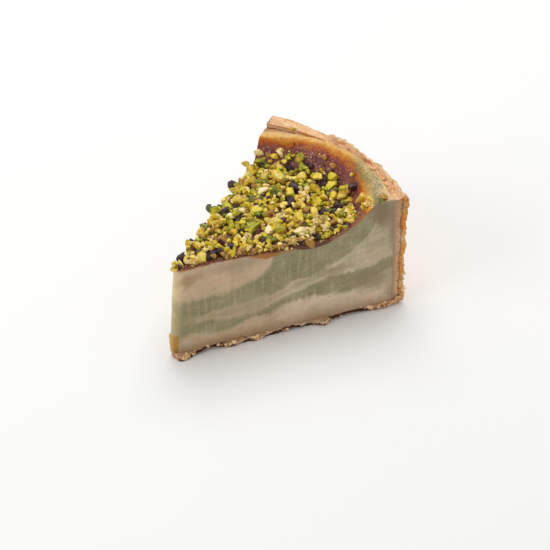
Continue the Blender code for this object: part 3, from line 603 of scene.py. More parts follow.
def cut_material(settings):
    """Baked egg custard, knife-cut: close, moist and slightly see-through, so soft with a low gloss."""
    material, tree, shader, millimetres = new_material(
        "egg custard, knife-cut",
        IOR=1.38,
        Subsurface_Weight=0.3,
        Subsurface_Radius=(1.0, 0.75, 0.4),
        Subsurface_Scale=2.5 * MM,
    )
    green, fine = marbling(tree, millimetres)
    reach, across, below, climb, tip = (
        add(tree, "Attribute", attribute_name=name, output="Fac")
        for name in ("reach_mm", "across", "below_skin_mm", "climb", "tip")
    )
    height = add(tree, "SeparateXYZ", millimetres, output="Z")
    # The vanilla is warmer by the tip and paler by the crust.
    warm, pale = list(settings.vanilla), linear("EAD4B8")
    vanilla = tinged(tree, warm, pale, reach, 36.0, 66.0, interpolation_type="SMOOTHSTEP")
    clouds = add(tree, "TexNoise", millimetres, None, 1 / 9, 3.0, 0.55)
    vanilla = tinged(tree, vanilla, linear("C2A27C"), clouds, 0.42, 0.68, 0.4)
    peach = patch(tree, reach, height, (22, 40), (7, 12), 0.4)
    vanilla = add(tree, "MixRGB", peach, vanilla, linear("E2B79B"))
    # The pistachio custard is grained with ground nut.
    grains = add(tree, "TexNoise", millimetres, None, 1 / 0.8, 4.0, 0.8)
    pistachio = tinged(tree, list(settings.pistachio), linear("7B744B"), grains, 0.42, 0.68)
    pistachio = tinged(tree, pistachio, linear("B3A77F"), clouds, 0.6, 0.35, 0.45)
    colour = add(tree, "MixRGB", green, vanilla, pistachio)
    # Upright marks of the knife.
    upright = add(tree, "Mapping", millimetres, None, None, (0.6, 0.6, 0.07))
    streaks = add(tree, "TexNoise", upright, None, 1.0, 3.0)
    colour = tinged(tree, colour, linear("EAD6B6"), streaks, 0.5, 0.75, 0.22)
    colour = tinged(tree, colour, linear("857250"), streaks, 0.42, 0.25, 0.18)
    # Small bubbles, open where the knife went through them, their hollows painted dark as shade.
    bubbles = add(tree, "TexVoronoi", millimetres, None, 1 / 6.5)
    bubbles = add(tree, "MapRange", bubbles, 0.06, 0.04)
    colour = add(tree, "MixRGB", bubbles, colour, linear("4A3A28"))
    # Uneven patches: a painted glow of light through the tip's edge, a darker patch low on the tip, a syrupy
    # smudge, a whitish smear, and painted shade under the crest and against the pastry.
    along = add(tree, "Math", clouds, 9.0, reach, operation="MULTIPLY_ADD")
    along = add(tree, "Math", along, 4.5, operation="SUBTRACT")
    upward = add(tree, "Math", fine, 7.0, height, operation="MULTIPLY_ADD")
    upward = add(tree, "Math", upward, 3.5, operation="SUBTRACT")
    for middle, half_sizes, most, hex_colour in (
        # painted light: the tip's edge glows pale
        ((0.5, 39), (6.5, 13), 0.75, "EBCF9F"),
        ((0.5, 12), (7, 11), 0.8, "968A66"),
        ((2.5, 20.5), (12, 5.5), 0.9, "9C9264"),
        ((29, 44.5), (19, 5), 0.7, "B0967A"),
        ((6.5, 41.5), (5, 6), 0.7, "AA8258"),
        ((11.5, 43.5), (5, 4), 0.5, "B08660"),
        ((7, 6.5), (4.5, 4), 0.5, "DFD6BE"),
        # painted shade under the crest and against the pastry wall
        ((95.5, 54), (9.5, 12), 1.0, "937B60"),
        ((101, 46), (6, 15), 0.9, "A38B70"),
        ((71, 28.5), (14, 3.5), 0.6, "958A63"),
        ((92, 18), (15, 10), 0.85, "998B69"),
        ((74, 9), (24, 6), 0.4, "BFA681"),
    ):
        here = patch(tree, along, upward, middle, half_sizes, most)
        colour = add(tree, "MixRGB", here, colour, linear(hex_colour))
    # Painted shade darkens it against the wall, and it browned a little against the base.
    for cause, start, full, most, hex_colour in (
        # painted shade along the wall
        (along, 97.0, 102.5, 0.4, "94805F"),
        (upward, 10.0, 3.5, 0.65, "A88058"),
    ):
        brown = linear(hex_colour)
        colour = tinged(tree, colour, brown, cause, start, full, most, interpolation_type="SMOOTHSTEP")
    # The blunt tip is painted pale, a painted glow of light coming through it, and browned below its ledge.
    tip_glow = add(tree, "Math", tip, 0.35, operation="MULTIPLY")
    colour = add(tree, "MixRGB", tip_glow, colour, linear("E9D3A0"))
    on_tip = add(tree, "MapRange", tip, 0.5, 0.8)
    to_far = add(tree, "Math", fine, 0.8, across, operation="MULTIPLY_ADD")
    to_far = add(tree, "Math", height, 0.03, to_far, operation="MULTIPLY_ADD")
    browned = ramp(
        tree,
        to_far,
        (
            (0.3, linear("6E5A22")),
            (0.9, linear("B48A38")),
            (1.3, linear("CA9C4C")),
            (1.8, linear("DDBC80")),
        ),
    )
    colour = tinged(tree, colour, browned, height, 12.9, 12.3, within=on_tip)
    # The cut edge of the baked skin: caramel, and brown at the very top.
    ragged = add(tree, "TexNoise", millimetres, None, 1 / 3.5, 4.0, 0.6)
    depth = add(tree, "MapRange", ragged, 0.3, 0.75, 0.1, 2.3)
    syrup = patch(tree, reach, height, (42.5, 47), (8, 6), 3.6)
    depth = add(tree, "Math", depth, syrup, operation="ADD")
    depth = add(tree, "Math", depth, below, operation="SUBTRACT")
    below_crest = add(tree, "MapRange", climb, 0.98, 0.8)
    colour = tinged(tree, colour, linear("B5722F"), depth, -0.5, 0.9, within=below_crest)
    # Thicker brown under the nuts at 64 mm: browned skin, partly painted shade of the nuts above.
    brown_and_nut_shade = patch(tree, reach, height, (64, 45.5), (10, 4), 1.0)
    depth = add(tree, "Math", brown_and_nut_shade, -3.2, below, operation="MULTIPLY_ADD")
    sunk = add(tree, "MapRange", climb, 0.6, 0.25)
    colour = tinged(tree, colour, linear("6B3B26"), depth, 0.8, 0.1, within=sunk)
    tree.links.new(colour, shader.inputs["Base Color"])
    tree.links.new(add(tree, "MapRange", fine, 0.2, 0.8, 0.36, 0.55), shader.inputs["Roughness"])
    pits = add(tree, "TexNoise", millimetres, None, 1 / 1.1, 4.0, 0.6)
    relief = add(tree, "Math", streaks, 0.6, pits, operation="MULTIPLY_ADD")
    relief = add(tree, "Math", bubbles, -0.8, relief, operation="MULTIPLY_ADD")
    tree.links.new(add(tree, "Bump", 0.5, 0.3 * MM, None, relief), shader.inputs["Normal"])
    return material


def skin_material(settings):
    """The custard's baked top, a film: plum brown and glossy where it sank, matt and pale on its crest."""
    material, tree, shader, millimetres = new_material(
        "custard skin, oven-browned",
        Subsurface_Weight=0.15,
        Subsurface_Radius=(1.0, 0.5, 0.2),
        Subsurface_Scale=1.5 * MM,
        IOR=1.38,
        Coat_Weight=0.12,
        Coat_Roughness=0.2,
    )
    past = add(tree, "Attribute", attribute_name="past_crest_mm", output="Fac")
    across = add(tree, "Attribute", attribute_name="across", output="Fac")
    patches = add(tree, "TexNoise", millimetres, None, 1 / 4.5, 4.0, 0.6)
    fine = add(tree, "TexNoise", millimetres, None, 1 / 1.1, 4.0, 0.75)
    along_crest = add(tree, "Math", across, WEDGE_ANGLE * RING_RADIUS / MM / 7, operation="MULTIPLY")
    streaks = add(tree, "CombineXYZ", along_crest, add(tree, "Math", past, 1 / 1.3, operation="MULTIPLY"))
    streaks = add(tree, "TexNoise", streaks, None, 1.0, 4.0, 0.65)
    # The browning ends a little short of the crest, and further short of it by the near cut.
    level = add(tree, "Math", patches, 2.6, past, operation="MULTIPLY_ADD")
    level = add(tree, "Math", streaks, 4.2, level, operation="MULTIPLY_ADD")
    end = add(tree, "MapRange", across, 0.08, 0.42, -1.2, 2.8, interpolation_type="SMOOTHSTEP")
    level = add(tree, "Math", level, end, operation="SUBTRACT")
    colour = ramp(
        tree,
        level,
        (
            (-4.0, list(settings.skin)),
            (-1.5, linear("A04E3C")),
            (-0.6, list(settings.amber)),
            (0.3, linear("DA8C22")),
            (1.3, linear("E6B058")),
            (2.8, list(settings.crest)),
            (6.0, linear("E4BE8A")),
        ),
    )
    mealy = add(tree, "MapRange", fine, 0.35, 0.65, -0.26, 0.2)
    mealy = add(tree, "Math", mealy, 1.0, operation="ADD")
    mealy = add(tree, "CombineColor", mealy, mealy, mealy)
    colour = add(tree, "MixRGB", 1.0, colour, mealy, blend_type="MULTIPLY")
    # Where it sank, it is streaked with plum and specked with crumbs that baked in.
    sunk = add(tree, "MapRange", level, 0.0, -1.6)
    colour = tinged(tree, colour, linear("783C44"), streaks, 0.47, 0.55, 0.9, within=sunk)
    colour = tinged(tree, colour, linear("CC9A88"), fine, 0.54, 0.63, 0.8, within=sunk)
    # Pistachio custard shows through the pale skin along the near half of the crest.
    mottle = add(tree, "Math", fine, patches, operation="ADD")
    mottle = add(tree, "MapRange", mottle, 0.85, 1.12, 1.0, 0.3)
    near_half = add(tree, "MapRange", across, 0.46, 0.32)
    mottle = add(tree, "Math", mottle, near_half, operation="MULTIPLY")
    crown = add(tree, "MapRange", past, -2.6, -0.6)
    crown = add(tree, "Math", crown, add(tree, "MapRange", past, 4.6, 3.0), operation="MULTIPLY")
    mottle = add(tree, "Math", mottle, crown, operation="MULTIPLY")
    colour = add(tree, "MixRGB", mottle, colour, linear("8A8A62"))
    # The crest is olive by the near cut, and toasted behind by the far one.
    colour = tinged(tree, colour, linear("786A44"), across, 0.06, 0.01, 0.85, within=crown)
    by_far_cut = add(tree, "MapRange", across, 0.75, 0.85)
    colour = tinged(tree, colour, linear("A8612F"), past, 3.4, 5.5, 0.7, within=by_far_cut)
    tree.links.new(colour, shader.inputs["Base Color"])
    tree.links.new(add(tree, "MapRange", level, -1.0, 2.5, 0.24, 0.5), shader.inputs["Roughness"])
    wrinkles = add(tree, "TexNoise", millimetres, None, 1 / 1.5, 5.0, 0.6)
    wrinkles = add(tree, "Math", streaks, 1.5, wrinkles, operation="MULTIPLY_ADD")
    tree.links.new(add(tree, "Bump", 0.9, 0.5 * MM, None, wrinkles), shader.inputs["Normal"])
    return material


class TART_OT_custard(bpy.types.Operator):
    """Builds the custard's wedge, with its marbled cuts and its browned skin"""

    bl_idname = "tart.custard"
    bl_label = "Custard"

    def execute(self, context):
        settings = context.scene.tart
        rows = round(WALL_INNER_FOOT / settings.custard_step)
        columns = round(WEDGE_ANGLE * WALL_INNER_FOOT / settings.custard_step)
        levels = round(FILLING_HEIGHT_TIP / settings.custard_step)

        def place(row, column, level):
            across = column / columns
            share = row / rows
            skin_reach = blend(TIP_START_TOP, WALL_INNER_FOOT, share)
            top = filling_top(skin_reach, across)
            x, y = plan(skin_reach, across, top)
            top += SKIN_WRINKLE * sum(rumple(x, y, 0.9, span) for span in SKIN_WRINKLE_SPANS)
            height = blend(BASE_TOP, top, level / levels)
            end = wall_inner(height, across) + SEAM_OVERLAP
            loose = smooth((across - CRACK_FROM) / CRACK_OPENING) * smooth(1 - (top - height) / CRACK_DEPTH)
            reach = blend(tip_start(height), end - CRACK_WIDTH * loose, share)
            if row < len(TIP_ROUNDING):
                width = (plan(reach, 1, height) - plan(reach, 0, height)).length
                across = blend(min(TIP_ROUNDING[row] / width, TIP_ROUNDING_MOST), 1, across)
            mark = KNIFE_MARK * rumple(reach, across, height * KNIFE_MARK_UPRIGHT, KNIFE_MARK_SPAN)
            point = placed(reach, across, height, mark if column in (0, columns) else 0.0)
            if row == 0 and height < TIP_LEDGE_HEIGHT:
                point += FAR_OUTWARD * (TIP_LEDGE * across)
            climb, past = filling_climb(skin_reach, across)
            on_tip = 1 - smooth(row / TIP_ROWS)
            return point, (reach / MM, across, (top - height) / MM, climb, past / MM, on_tip)

        values = ("reach_mm", "across", "below_skin_mm", "climb", "past_crest_mm", "tip")
        shape = block_skin((rows, columns, levels), place, values)
        tip = shape.verts.layers.float["tip"]
        for edge in shape.edges:
            if min(vert[tip] for vert in edge.verts) > ON_TIP and edge.verts[0].co.z != edge.verts[1].co.z:
                edge.smooth = True
        materials = (cut_material(settings), skin_material(settings))
        make_piece("custard_body", shape, materials, "custard")
        return {"FINISHED"}


# Pastry: its fine leaves and crumb. How deep they are is given as shares of the flaking.
FINE_LEAVES = 8
FINE_LEAF_APART = 5 * MM  # far enough along its raggedness that each leaf has its own
CRUST_DEPTHS = FINE_LEAVES * 3
BASE_CELL_LENGTH = 1.6  # times that of the wall's cells
BASE_DEPTH_FROM = 0.35  # the base's underside is coloured like the wall this share of the way in,
BASE_DEPTH_SPAN = 0.3  # and its top like the wall this much further in
WALL_FOOT = FOOT_ROUNDING * 0.5
CRAG_SPAN = 3.2 * MM
CRUMB_SPAN = 1.1 * MM
RIM_LEAF_SPAN = 3.0 * MM
RIM_DEPTH = 5.5 * MM
CUT_LEAF_SPAN = 2.2 * MM
LAYERED_TO = 0.72  # share of the way across where the rim's leaves have closed up to a smooth band
LAYERED_FADE = 0.2  # and the share before it over which they close
LAYERED_LEAST = 0.25
BASE_EDGE_RAGGED = 2.2  # how unevenly the base's leaves end in a cut, and how deep the gaps between them are
BASE_EDGE_GAP = 0.8
WALL_CRAG = 1.2  # how craggy and how crumbly the outside is, and how far it is set back for that
WALL_CRUMB = 0.8
WALL_SUNK = 0.4
WALL_EDGE_CRUMBLY = 1.5  # in the outer part of the wall's cut edge
WALL_EDGE_CRUMBLY_TO = 0.35  # how far inwards that goes, and over how much of the way it ends
WALL_EDGE_CRUMBLY_FADE = 0.3
WALL_EDGE_RAGGED = 0.25  # all over it
WALL_EDGE_GAP = 0.3
WALL_EDGE_FINE = 0.8  # share of its raggedness that is as fine as crumbs
RIM_RAGGED = 1.3  # how unevenly the rim's leaves end, and how deep the gaps between them are
RIM_GAP = 0.5
RIM_CRUMB = 2.0  # how crumbly the rim is where it is closed up, and how much less so where it is layered
RIM_CRUMB_LAYERED = 1.4


def base_flake(reach, across, depth):
    """How far the base's flaky edge stands out of a cut."""
    edge = 1 - smooth(min(across, 1 - across) * WEDGE_ANGLE * reach / BASE_FLAKE_SPAN)
    ragged = rumple(reach, across * FLAKE_SIDES_APART, depth * FLAKE_LEVELS_APART, BASE_FLAKE_SPAN)
    beyond_tip = smooth(reach / BASE_FLAKE_FROM - 1)
    proud = BASE_FLAKE * max(ragged, 0.0) * edge * beyond_tip
    for middle, half_length, most in NEAR_FLAKES:
        here = most * (1 - smooth(abs(reach - middle) / half_length)) * (1 + ragged)
        proud = max(proud, here * (1 - smooth(across / NEAR_FLAKE_REACH)) * edge)
    return proud


def pastry_material(settings):
    """Butter pastry baked in a ring: dry, flaky and dull, golden outside, damp where custard soaked in."""
    material, tree, shader, millimetres = new_material(
        "laminated pastry, baked", Roughness=0.7, Subsurface_Weight=0.1, Subsurface_Scale=1.0 * MM
    )
    depth = add(tree, "Attribute", attribute_name="depth", output="Fac")
    across = add(tree, "Attribute", attribute_name="across", output="Fac")
    patches = add(tree, "TexNoise", millimetres, None, 1 / 7, 5.0, 0.6)
    fine = add(tree, "TexNoise", millimetres, None, 1 / 1.3, 5.0, 0.7)
    colour = tinged(tree, list(settings.pastry), linear("EE941A"), patches, 0.4, 0.58)
    # Pale flakes, more of them lower down: partly the dough's own, partly painted highlights on its
    # granules.
    broad = add(tree, "TexNoise", millimetres, None, 1 / 16, 2.0, 0.5)
    bits = add(tree, "Math", broad, 0.5, fine, operation="MULTIPLY_ADD")
    height = add(tree, "SeparateXYZ", millimetres, output="Z")
    bits = add(tree, "Math", bits, add(tree, "MapRange", height, 45.0, 20.0, -0.02, 0.07), operation="ADD")
    bits = add(tree, "MapRange", bits, 0.74, 0.86, 0.0, 0.95)
    colour = add(tree, "MixRGB", bits, colour, linear("F5C888"))
    colour = tinged(tree, colour, linear("CC700E"), patches, 0.58, 0.7, 0.85)
    # Dark brown in its pits: partly toasting, partly painted shade.
    colour = tinged(tree, colour, linear("94500F"), fine, 0.44, 0.36, 0.9)
    # Inside, next to the custard, it stayed soft, and where it meets the custard it is darker: soaked dough
    # with painted shade along the seam.
    damp = add(tree, "MixRGB", bits, linear("C39A76"), linear("E2B68E"))
    soaked = add(tree, "Math", fine, 0.4, depth, operation="MULTIPLY_ADD")
    damp = tinged(tree, damp, linear("AC8C6A"), soaked, 0.85, 1.15)
    # Where the wall's inner face stands out of the custard it is orange-brown: toasted, and painted as the
    # shade below the rim.
    off_middle = add(tree, "Math", across, 0.5, operation="SUBTRACT")
    off_middle = add(tree, "Math", off_middle, operation="ABSOLUTE")
    off_cuts = add(tree, "MapRange", off_middle, 0.497, 0.49)
    damp = tinged(tree, damp, linear("CC7C40"), height, 55.5, 57.5, 0.85, within=off_cuts)
    inside = add(tree, "Math", patches, 0.3, depth, operation="MULTIPLY_ADD")
    colour = tinged(tree, colour, damp, inside, 0.5, 0.72)
    # A brown seam runs where the toasted outside ends.
    seam = add(tree, "MapRange", fine, 0.3, 0.7, -0.09, 0.09)
    seam = add(tree, "Math", depth, seam, operation="ADD")
    seam = add(tree, "Math", seam, 0.4, operation="SUBTRACT")
    seam = add(tree, "Math", seam, operation="ABSOLUTE")
    colour = tinged(tree, colour, linear("8A5230"), seam, 0.1, 0.03, 0.7)
    # The rim: pale leaves with toasted edges, closing up to a sandy band by the far cut.
    wander = add(tree, "Math", patches, 0.35, depth, operation="MULTIPLY_ADD")
    lines = add(tree, "Math", wander, 2 * math.pi * 5, operation="MULTIPLY")
    lines = add(tree, "Math", lines, operation="SINE")
    layered = add(tree, "MapRange", across, LAYERED_TO, LAYERED_TO - LAYERED_FADE, 0.15, 1.0)
    rim = tinged(tree, list(settings.rim), linear("CC6E2A"), lines, 0.6, 1.0, 0.75, within=layered)
    rim = tinged(tree, rim, linear("EBA864"), fine, 0.55, 0.75, 0.5)
    on_rim = add(tree, "Attribute", attribute_name="rim", output="Fac")
    colour = add(tree, "MixRGB", on_rim, colour, rim)
    # The base's cut edge: dough as pale as the custard with brown crumbs in it, and painted shade of the gap
    # underneath, more of it where the base has curled up.
    crumbly = add(tree, "TexNoise", millimetres, None, 1 / 2.0, 4.0, 0.65)
    crumbs = tinged(tree, linear("C4A680"), linear("F0D4B0"), crumbly, 0.42, 0.56)
    crumbs = tinged(tree, crumbs, linear("98683C"), fine, 0.56, 0.66, 0.7)
    edge = add(tree, "Attribute", attribute_name="base_edge", output="Fac")
    colour = add(tree, "MixRGB", edge, colour, crumbs)
    lifted = add(tree, "Attribute", attribute_name="lifted", output="Fac")
    gap_shade = add(tree, "Math", crumbly, 0.5, depth, operation="MULTIPLY_ADD")
    gap_shade = add(tree, "Math", lifted, -0.4, gap_shade, operation="MULTIPLY_ADD")
    colour = tinged(tree, colour, linear("603618"), gap_shade, 0.75, 0.7, within=edge)
    tree.links.new(colour, shader.inputs["Base Color"])
    tree.links.new(add(tree, "Bump", 1.0, 0.5 * MM, None, fine), shader.inputs["Normal"])
    return material


class TART_OT_crust(bpy.types.Operator):
    """Builds the pastry base and wall, with its torn and layered rim"""

    bl_idname = "tart.crust"
    bl_label = "Crust"

    def execute(self, context):
        settings = context.scene.tart
        flaking = settings.flaking
        base_rows = round(RING_RADIUS / settings.crust_step / BASE_CELL_LENGTH)
        wall_rows = round(CRUST_HEIGHT / settings.crust_step)
        columns = round(WEDGE_ANGLE * RING_RADIUS / settings.crust_step)

        def place(row, column, layer):
            across = column / columns
            depth = layer / CRUST_DEPTHS
            along = across * WEDGE_ANGLE * RING_RADIUS
            leaf = min(math.floor(depth * FINE_LEAVES), FINE_LEAVES - 1) * FINE_LEAF_APART
            gap = abs(math.cos(math.pi * depth * FINE_LEAVES))
            on_cut = column in (0, columns)
            if row <= base_rows:
                share = row / base_rows
                inner_reach = blend(TIP_START_FOOT, wall_inner(BASE_TOP, across), share)
                outer_reach = blend(TIP_START_FOOT, RING_RADIUS - FOOT_ROUNDING, share)
                reach = blend(outer_reach, inner_reach, depth)
                height = blend(underside(outer_reach, across), BASE_TOP, depth)
                proud = base_flake(reach, across, depth)
                lifted = underside(outer_reach, across) / UNDERSIDE_LIFTS[0][2]
                if on_cut:
                    ragged = rumple(reach, leaf, across, CUT_LEAF_SPAN)
                    ragged += rumple(reach, depth * LEAF_APART, across, CRUMB_SPAN)
                    relief = BASE_EDGE_RAGGED * ragged - BASE_EDGE_GAP * gap
                    proud += flaking * relief * smooth(reach / BASE_FLAKE_FROM)
                point = placed(reach, across, height, proud)
                shown_depth = BASE_DEPTH_FROM + depth * BASE_DEPTH_SPAN
                return point, (shown_depth, across, float(on_cut), 0.0, lifted)
            share = (row - base_rows) / wall_rows
            height_out = blend(WALL_FOOT, CRUST_HEIGHT, share)
            height_in = blend(BASE_TOP, CRUST_HEIGHT, share)
            height = blend(height_out, height_in, depth)
            crag = 1 - 2 * abs(rumple(along, height, 0.5, CRAG_SPAN))
            crumb = rumple(along, height, 0.2, CRUMB_SPAN)
            relief = WALL_CRAG * crag + WALL_CRUMB * crumb - WALL_SUNK
            reach_out = wall_outer(height, across) + flaking * relief
            reach = blend(reach_out, wall_inner(height, across), depth)
            proud = 0.0
            if on_cut:
                crumbly = 1 - smooth((depth - WALL_EDGE_CRUMBLY_TO) / WALL_EDGE_CRUMBLY_FADE)
                ragged = rumple(height, leaf, across, CUT_LEAF_SPAN)
                ragged += WALL_EDGE_FINE * rumple(height, reach, across, CRUMB_SPAN)
                relief = WALL_EDGE_CRUMBLY * ragged * crumbly + WALL_EDGE_RAGGED * ragged
                proud = flaking * (relief - WALL_EDGE_GAP * gap)
            if share == 1:
                closed = smooth((across - LAYERED_TO + LAYERED_FADE) / LAYERED_FADE)
                layered = blend(1.0, LAYERED_LEAST, closed)
                own = rumple(along, leaf, 0.35, RIM_LEAF_SPAN)
                tiny = rumple(along, depth * RIM_DEPTH, 0.65, CRUMB_SPAN)
                relief = layered * (RIM_RAGGED * own - RIM_GAP * gap)
                relief += (RIM_CRUMB - RIM_CRUMB_LAYERED * layered) * tiny
                height = rim_height(depth, across) + flaking * relief
            return placed(reach, across, height, proud), (depth, across, 0.0, float(share == 1), 0.0)

        values = ("depth", "across", "base_edge", "rim", "lifted")
        shape = block_skin((base_rows + wall_rows, columns, CRUST_DEPTHS), place, values)
        for face in shape.faces:
            face.material_index = 0
        make_piece("pastry_shell", shape, (pastry_material(settings),), "crust")
        return {"FINISHED"}


# Chopped pistachios: how much of each kind there is, its tone from cream at 0 to deep green at 1,
# and how toasted it is.
KINDS = {
    "cream": (0.04, 0.02, 0.1),
    "pale": (0.17, 0.16, 0.0),
    "yellow": (0.24, 0.34, 0.0),
    "lime": (0.3, 0.56, 0.0),
    "green": (0.09, 0.77, 0.0),
    "deep": (0.03, 0.97, 0.1),
    "ochre": (0.05, 0.3, 1.0),
    "dark": (0.08, 0.6, 0.04),
}
TONE_SPREAD = 0.1
PIECE_POINTS = 30
SMALL_POINTS = 16
CRUMB_POINTS = 8
POINT_REACH = 1.08  # how far out a corner may lie, as a share of the piece's radius
RAGGEDNESS = 0.3  # share of that radius that it may fall short by
CUT_FACING = 0.9  # how squarely a face lies in a cut to count as cut
CURL_MOST = 1.3  # how far a piece's ends curl round, as a share of the square of their reach
CURL_MIDDLE = 0.15  # share of its size that its middle gives way to them
CURL_NARROWS = 0.3  # share of its width that the most curled piece lacks
SMALL_LARGEST = 3.0 * MM
SMALL_SMALLEST = 1.3 * MM
CRUMB_LARGEST = 1.1 * MM
CRUMB_SMALLEST = 0.35 * MM
CRUMB_RAISED = 0.2  # share of its size that a crumb's middle lies above the skin
STRAY_EVERY = 7  # one crumb in this many strays past the end of the field
STRAY_FIRST = 3  # the number of the first that does
STRAY_SPREAD = 1.3  # mm
STRAY_KINDS = ("ochre", "ochre", "dark", "dark", "pale")
# Dark crumbs are bits of skin, and also painted shade in the gaps between the pieces.
DARK_CRUMBS = 0.2  # share of the other crumbs that are dark before their kinds are picked
HEAP_WIDTH = 0.03  # share of the way across
HEAP_SIZES = (0.6, 3.0)  # mm
CRUMB_HEAPS = (  # reach and its spread in mm, share of the way across, kind and number
    (57, 4, 0.03, "cream", 34),
    (68, 3, 0.13, "cream", 28),
    (90.5, 1.8, 0.09, "pale", 22),
    (2.6, 0.8, 0.3, "yellow", 9),
    (30, 9, 0.03, "ochre", 26),
    (46, 10, 0.01, "ochre", 24),
)


def nut_field_end(across):
    """How far from the centre the chopped nuts lie thick."""
    bow = math.sin(math.pi * across) ** NUT_FIELD_BOW if 0 < across < 1 else 0.0
    ends = blend(NUT_FIELD_TO_NEAR, NUT_FIELD_TO_FAR, across)
    middle = blend(NUT_FIELD_TO_NEAR, NUT_FIELD_TO_FAR, 0.5)
    return ends + (NUT_FIELD_TO_MIDDLE - middle) * bow


def nut_try(draw, size, others):
    """One place for a nut, led by the room that the nuts already there leave it."""
    reach = max(nut_field_end(draw.random()) * math.sqrt(draw.random()), NUT_FIELD_FROM)
    across = draw.random()
    reach = min(reach, nut_field_end(across))
    width = WEDGE_ANGLE * reach
    near_margin = (NUT_EDGE_NEAR + size * NUT_EDGE_SIZE) / width
    far_margin = (size * NUT_EDGE_SIZE_FAR - NUT_OVERHANG_FAR) / width
    across = blend(min(near_margin, NUT_EDGE_MOST), 1 - far_margin, across)
    x, y = plan(reach, across, FILLING_HEIGHT_TIP)
    room = min(
        math.hypot(x - other[0], y - other[1]) - NUT_CLOSENESS * (size + other[4]) for other in others
    )
    return room, x, y, reach, across, size


def resting_height(x, y, reach, across, size, spots):
    """The height at which a piece lies on the skin, or on the pieces that lie there."""
    height = filling_top(reach, across) + (0.5 * NUT_THICKNESS - NUT_SUNK) * size
    for other_x, other_y, other_height, other_size, _ in spots:
        apart = math.hypot(x - other_x, y - other_y) / (0.5 * (size + other_size))
        lying_on = other_height + NUT_THICKNESS * (0.5 * other_size + (0.5 - NUT_NESTING) * size)
        if apart < 1:
            height = max(height, blend(lying_on, height, apart**2))
    return height


def nut_spots(small_count):
    """(x, y, height, size, kind) of each piece: those of the solids, by their rule, then the small ones."""
    draw = random.Random(NUT_SEED)
    distinct = []
    for reach, degrees, length, _ in DISTINCT_NUTS:
        angle = math.radians(degrees) - HALF_ANGLE
        x, y = math.cos(angle) * reach * MM, math.sin(angle) * reach * MM
        across = min(max(math.radians(degrees) / WEDGE_ANGLE, 0.0), 1.0)
        distinct.append((x, y, reach * MM, across, length * MM))
    filled, small = [], []
    for number in range(NUT_COUNT):
        size = blend(NUT_LARGEST, NUT_SMALLEST, (number / NUT_COUNT) ** NUT_SIZE_POWER)
        tries = [nut_try(draw, size, distinct + filled) for _ in range(NUT_TRIES)]
        filled.append(max(tries)[1:])
    for number in range(small_count):
        size = blend(SMALL_LARGEST, SMALL_SMALLEST, number / small_count)
        tries = [nut_try(draw, size, distinct + filled + small) for _ in range(NUT_TRIES)]
        small.append(max(tries)[1:])
    kinds = [None] * len(filled) + [kind for *_, kind in DISTINCT_NUTS] + [None] * len(small)
    spots = []
    for (x, y, reach, across, size), kind in zip(filled + distinct + small, kinds):
        height = resting_height(x, y, reach, across, size, spots)
        spots.append((x, y, height, size, kind or pick_kind(draw)))
    return spots


def pick_kind(draw):
    """A kind, each as likely as its share."""
    return draw.choices(list(KINDS), [amount for amount, _, _ in KINDS.values()])[0]


def unit_vector(draw):
    """A direction, all being as likely."""
    level = draw.uniform(-1, 1)
    around = draw.uniform(0, 2 * math.pi)
    flat = math.sqrt(1 - level * level)
    return Vector((flat * math.cos(around), flat * math.sin(around), level))


def add_chunk(shape, layers, values, centre, size, number, count):
    """One chopped piece: what flat cuts leave of a stretched ball. Its cut faces take the first material."""
    draw = random.Random(NUT_SEED * 1000 + number)
    length, width, depth = (draw.uniform(*shares) for shares in (NUT_LENGTH, NUT_WIDTH, NUT_DEPTH))
    stretch = Matrix.Diagonal((length, width, depth)) * (size / 2)
    tilts = draw.uniform(-NUT_TILT, NUT_TILT), draw.uniform(-NUT_TILT, NUT_TILT)
    turned = Euler((*tilts, draw.uniform(0, 2 * math.pi))).to_matrix()
    cuts = [(unit_vector(draw), draw.uniform(NUT_CUT_NEAREST, NUT_CUT_FARTHEST)) for _ in range(NUT_CUTS)]
    hull = bmesh.new()
    for step in range(count):
        level = 1 - 2 * (step + 0.5) / count
        around = step * GOLDEN_ANGLE
        flat = math.sqrt(1 - level * level)
        point = Vector((flat * math.cos(around), flat * math.sin(around), level))
        point *= POINT_REACH - RAGGEDNESS * draw.random()
        for direction, distance in cuts:
            point -= direction * max(point.dot(direction) - distance, 0.0)
        hull.verts.new(stretch @ point)
    bmesh.ops.convex_hull(hull, input=hull.verts[:])
    loose = [vert for vert in hull.verts if not vert.link_faces]
    bmesh.ops.delete(hull, geom=loose, context="VERTS")
    bmesh.ops.recalc_face_normals(hull, faces=hull.faces[:])
    facings = [(stretch.inverted() @ direction).normalized() for direction, _ in cuts]
    curl = draw.uniform(-CURL_MOST, CURL_MOST)
    narrowed = 1 - CURL_NARROWS * abs(curl) / CURL_MOST
    made = {}
    for vert in hull.verts:
        curled = vert.co.y * narrowed + curl * (vert.co.x**2 / size - CURL_MIDDLE * size)
        spot = turned @ Vector((vert.co.x, curled, vert.co.z))
        made[vert] = shape.verts.new(RING_CENTRE + centre + spot)
        for layer, value in zip(layers, values):
            made[vert][layer] = value
    for face in hull.faces:
        face.normal_update()
        new_face = shape.faces.new([made[vert] for vert in face.verts])
        cut = max(face.normal.dot(facing) for facing in facings) > CUT_FACING
        new_face.material_index = 0 if cut else 1
    hull.free()


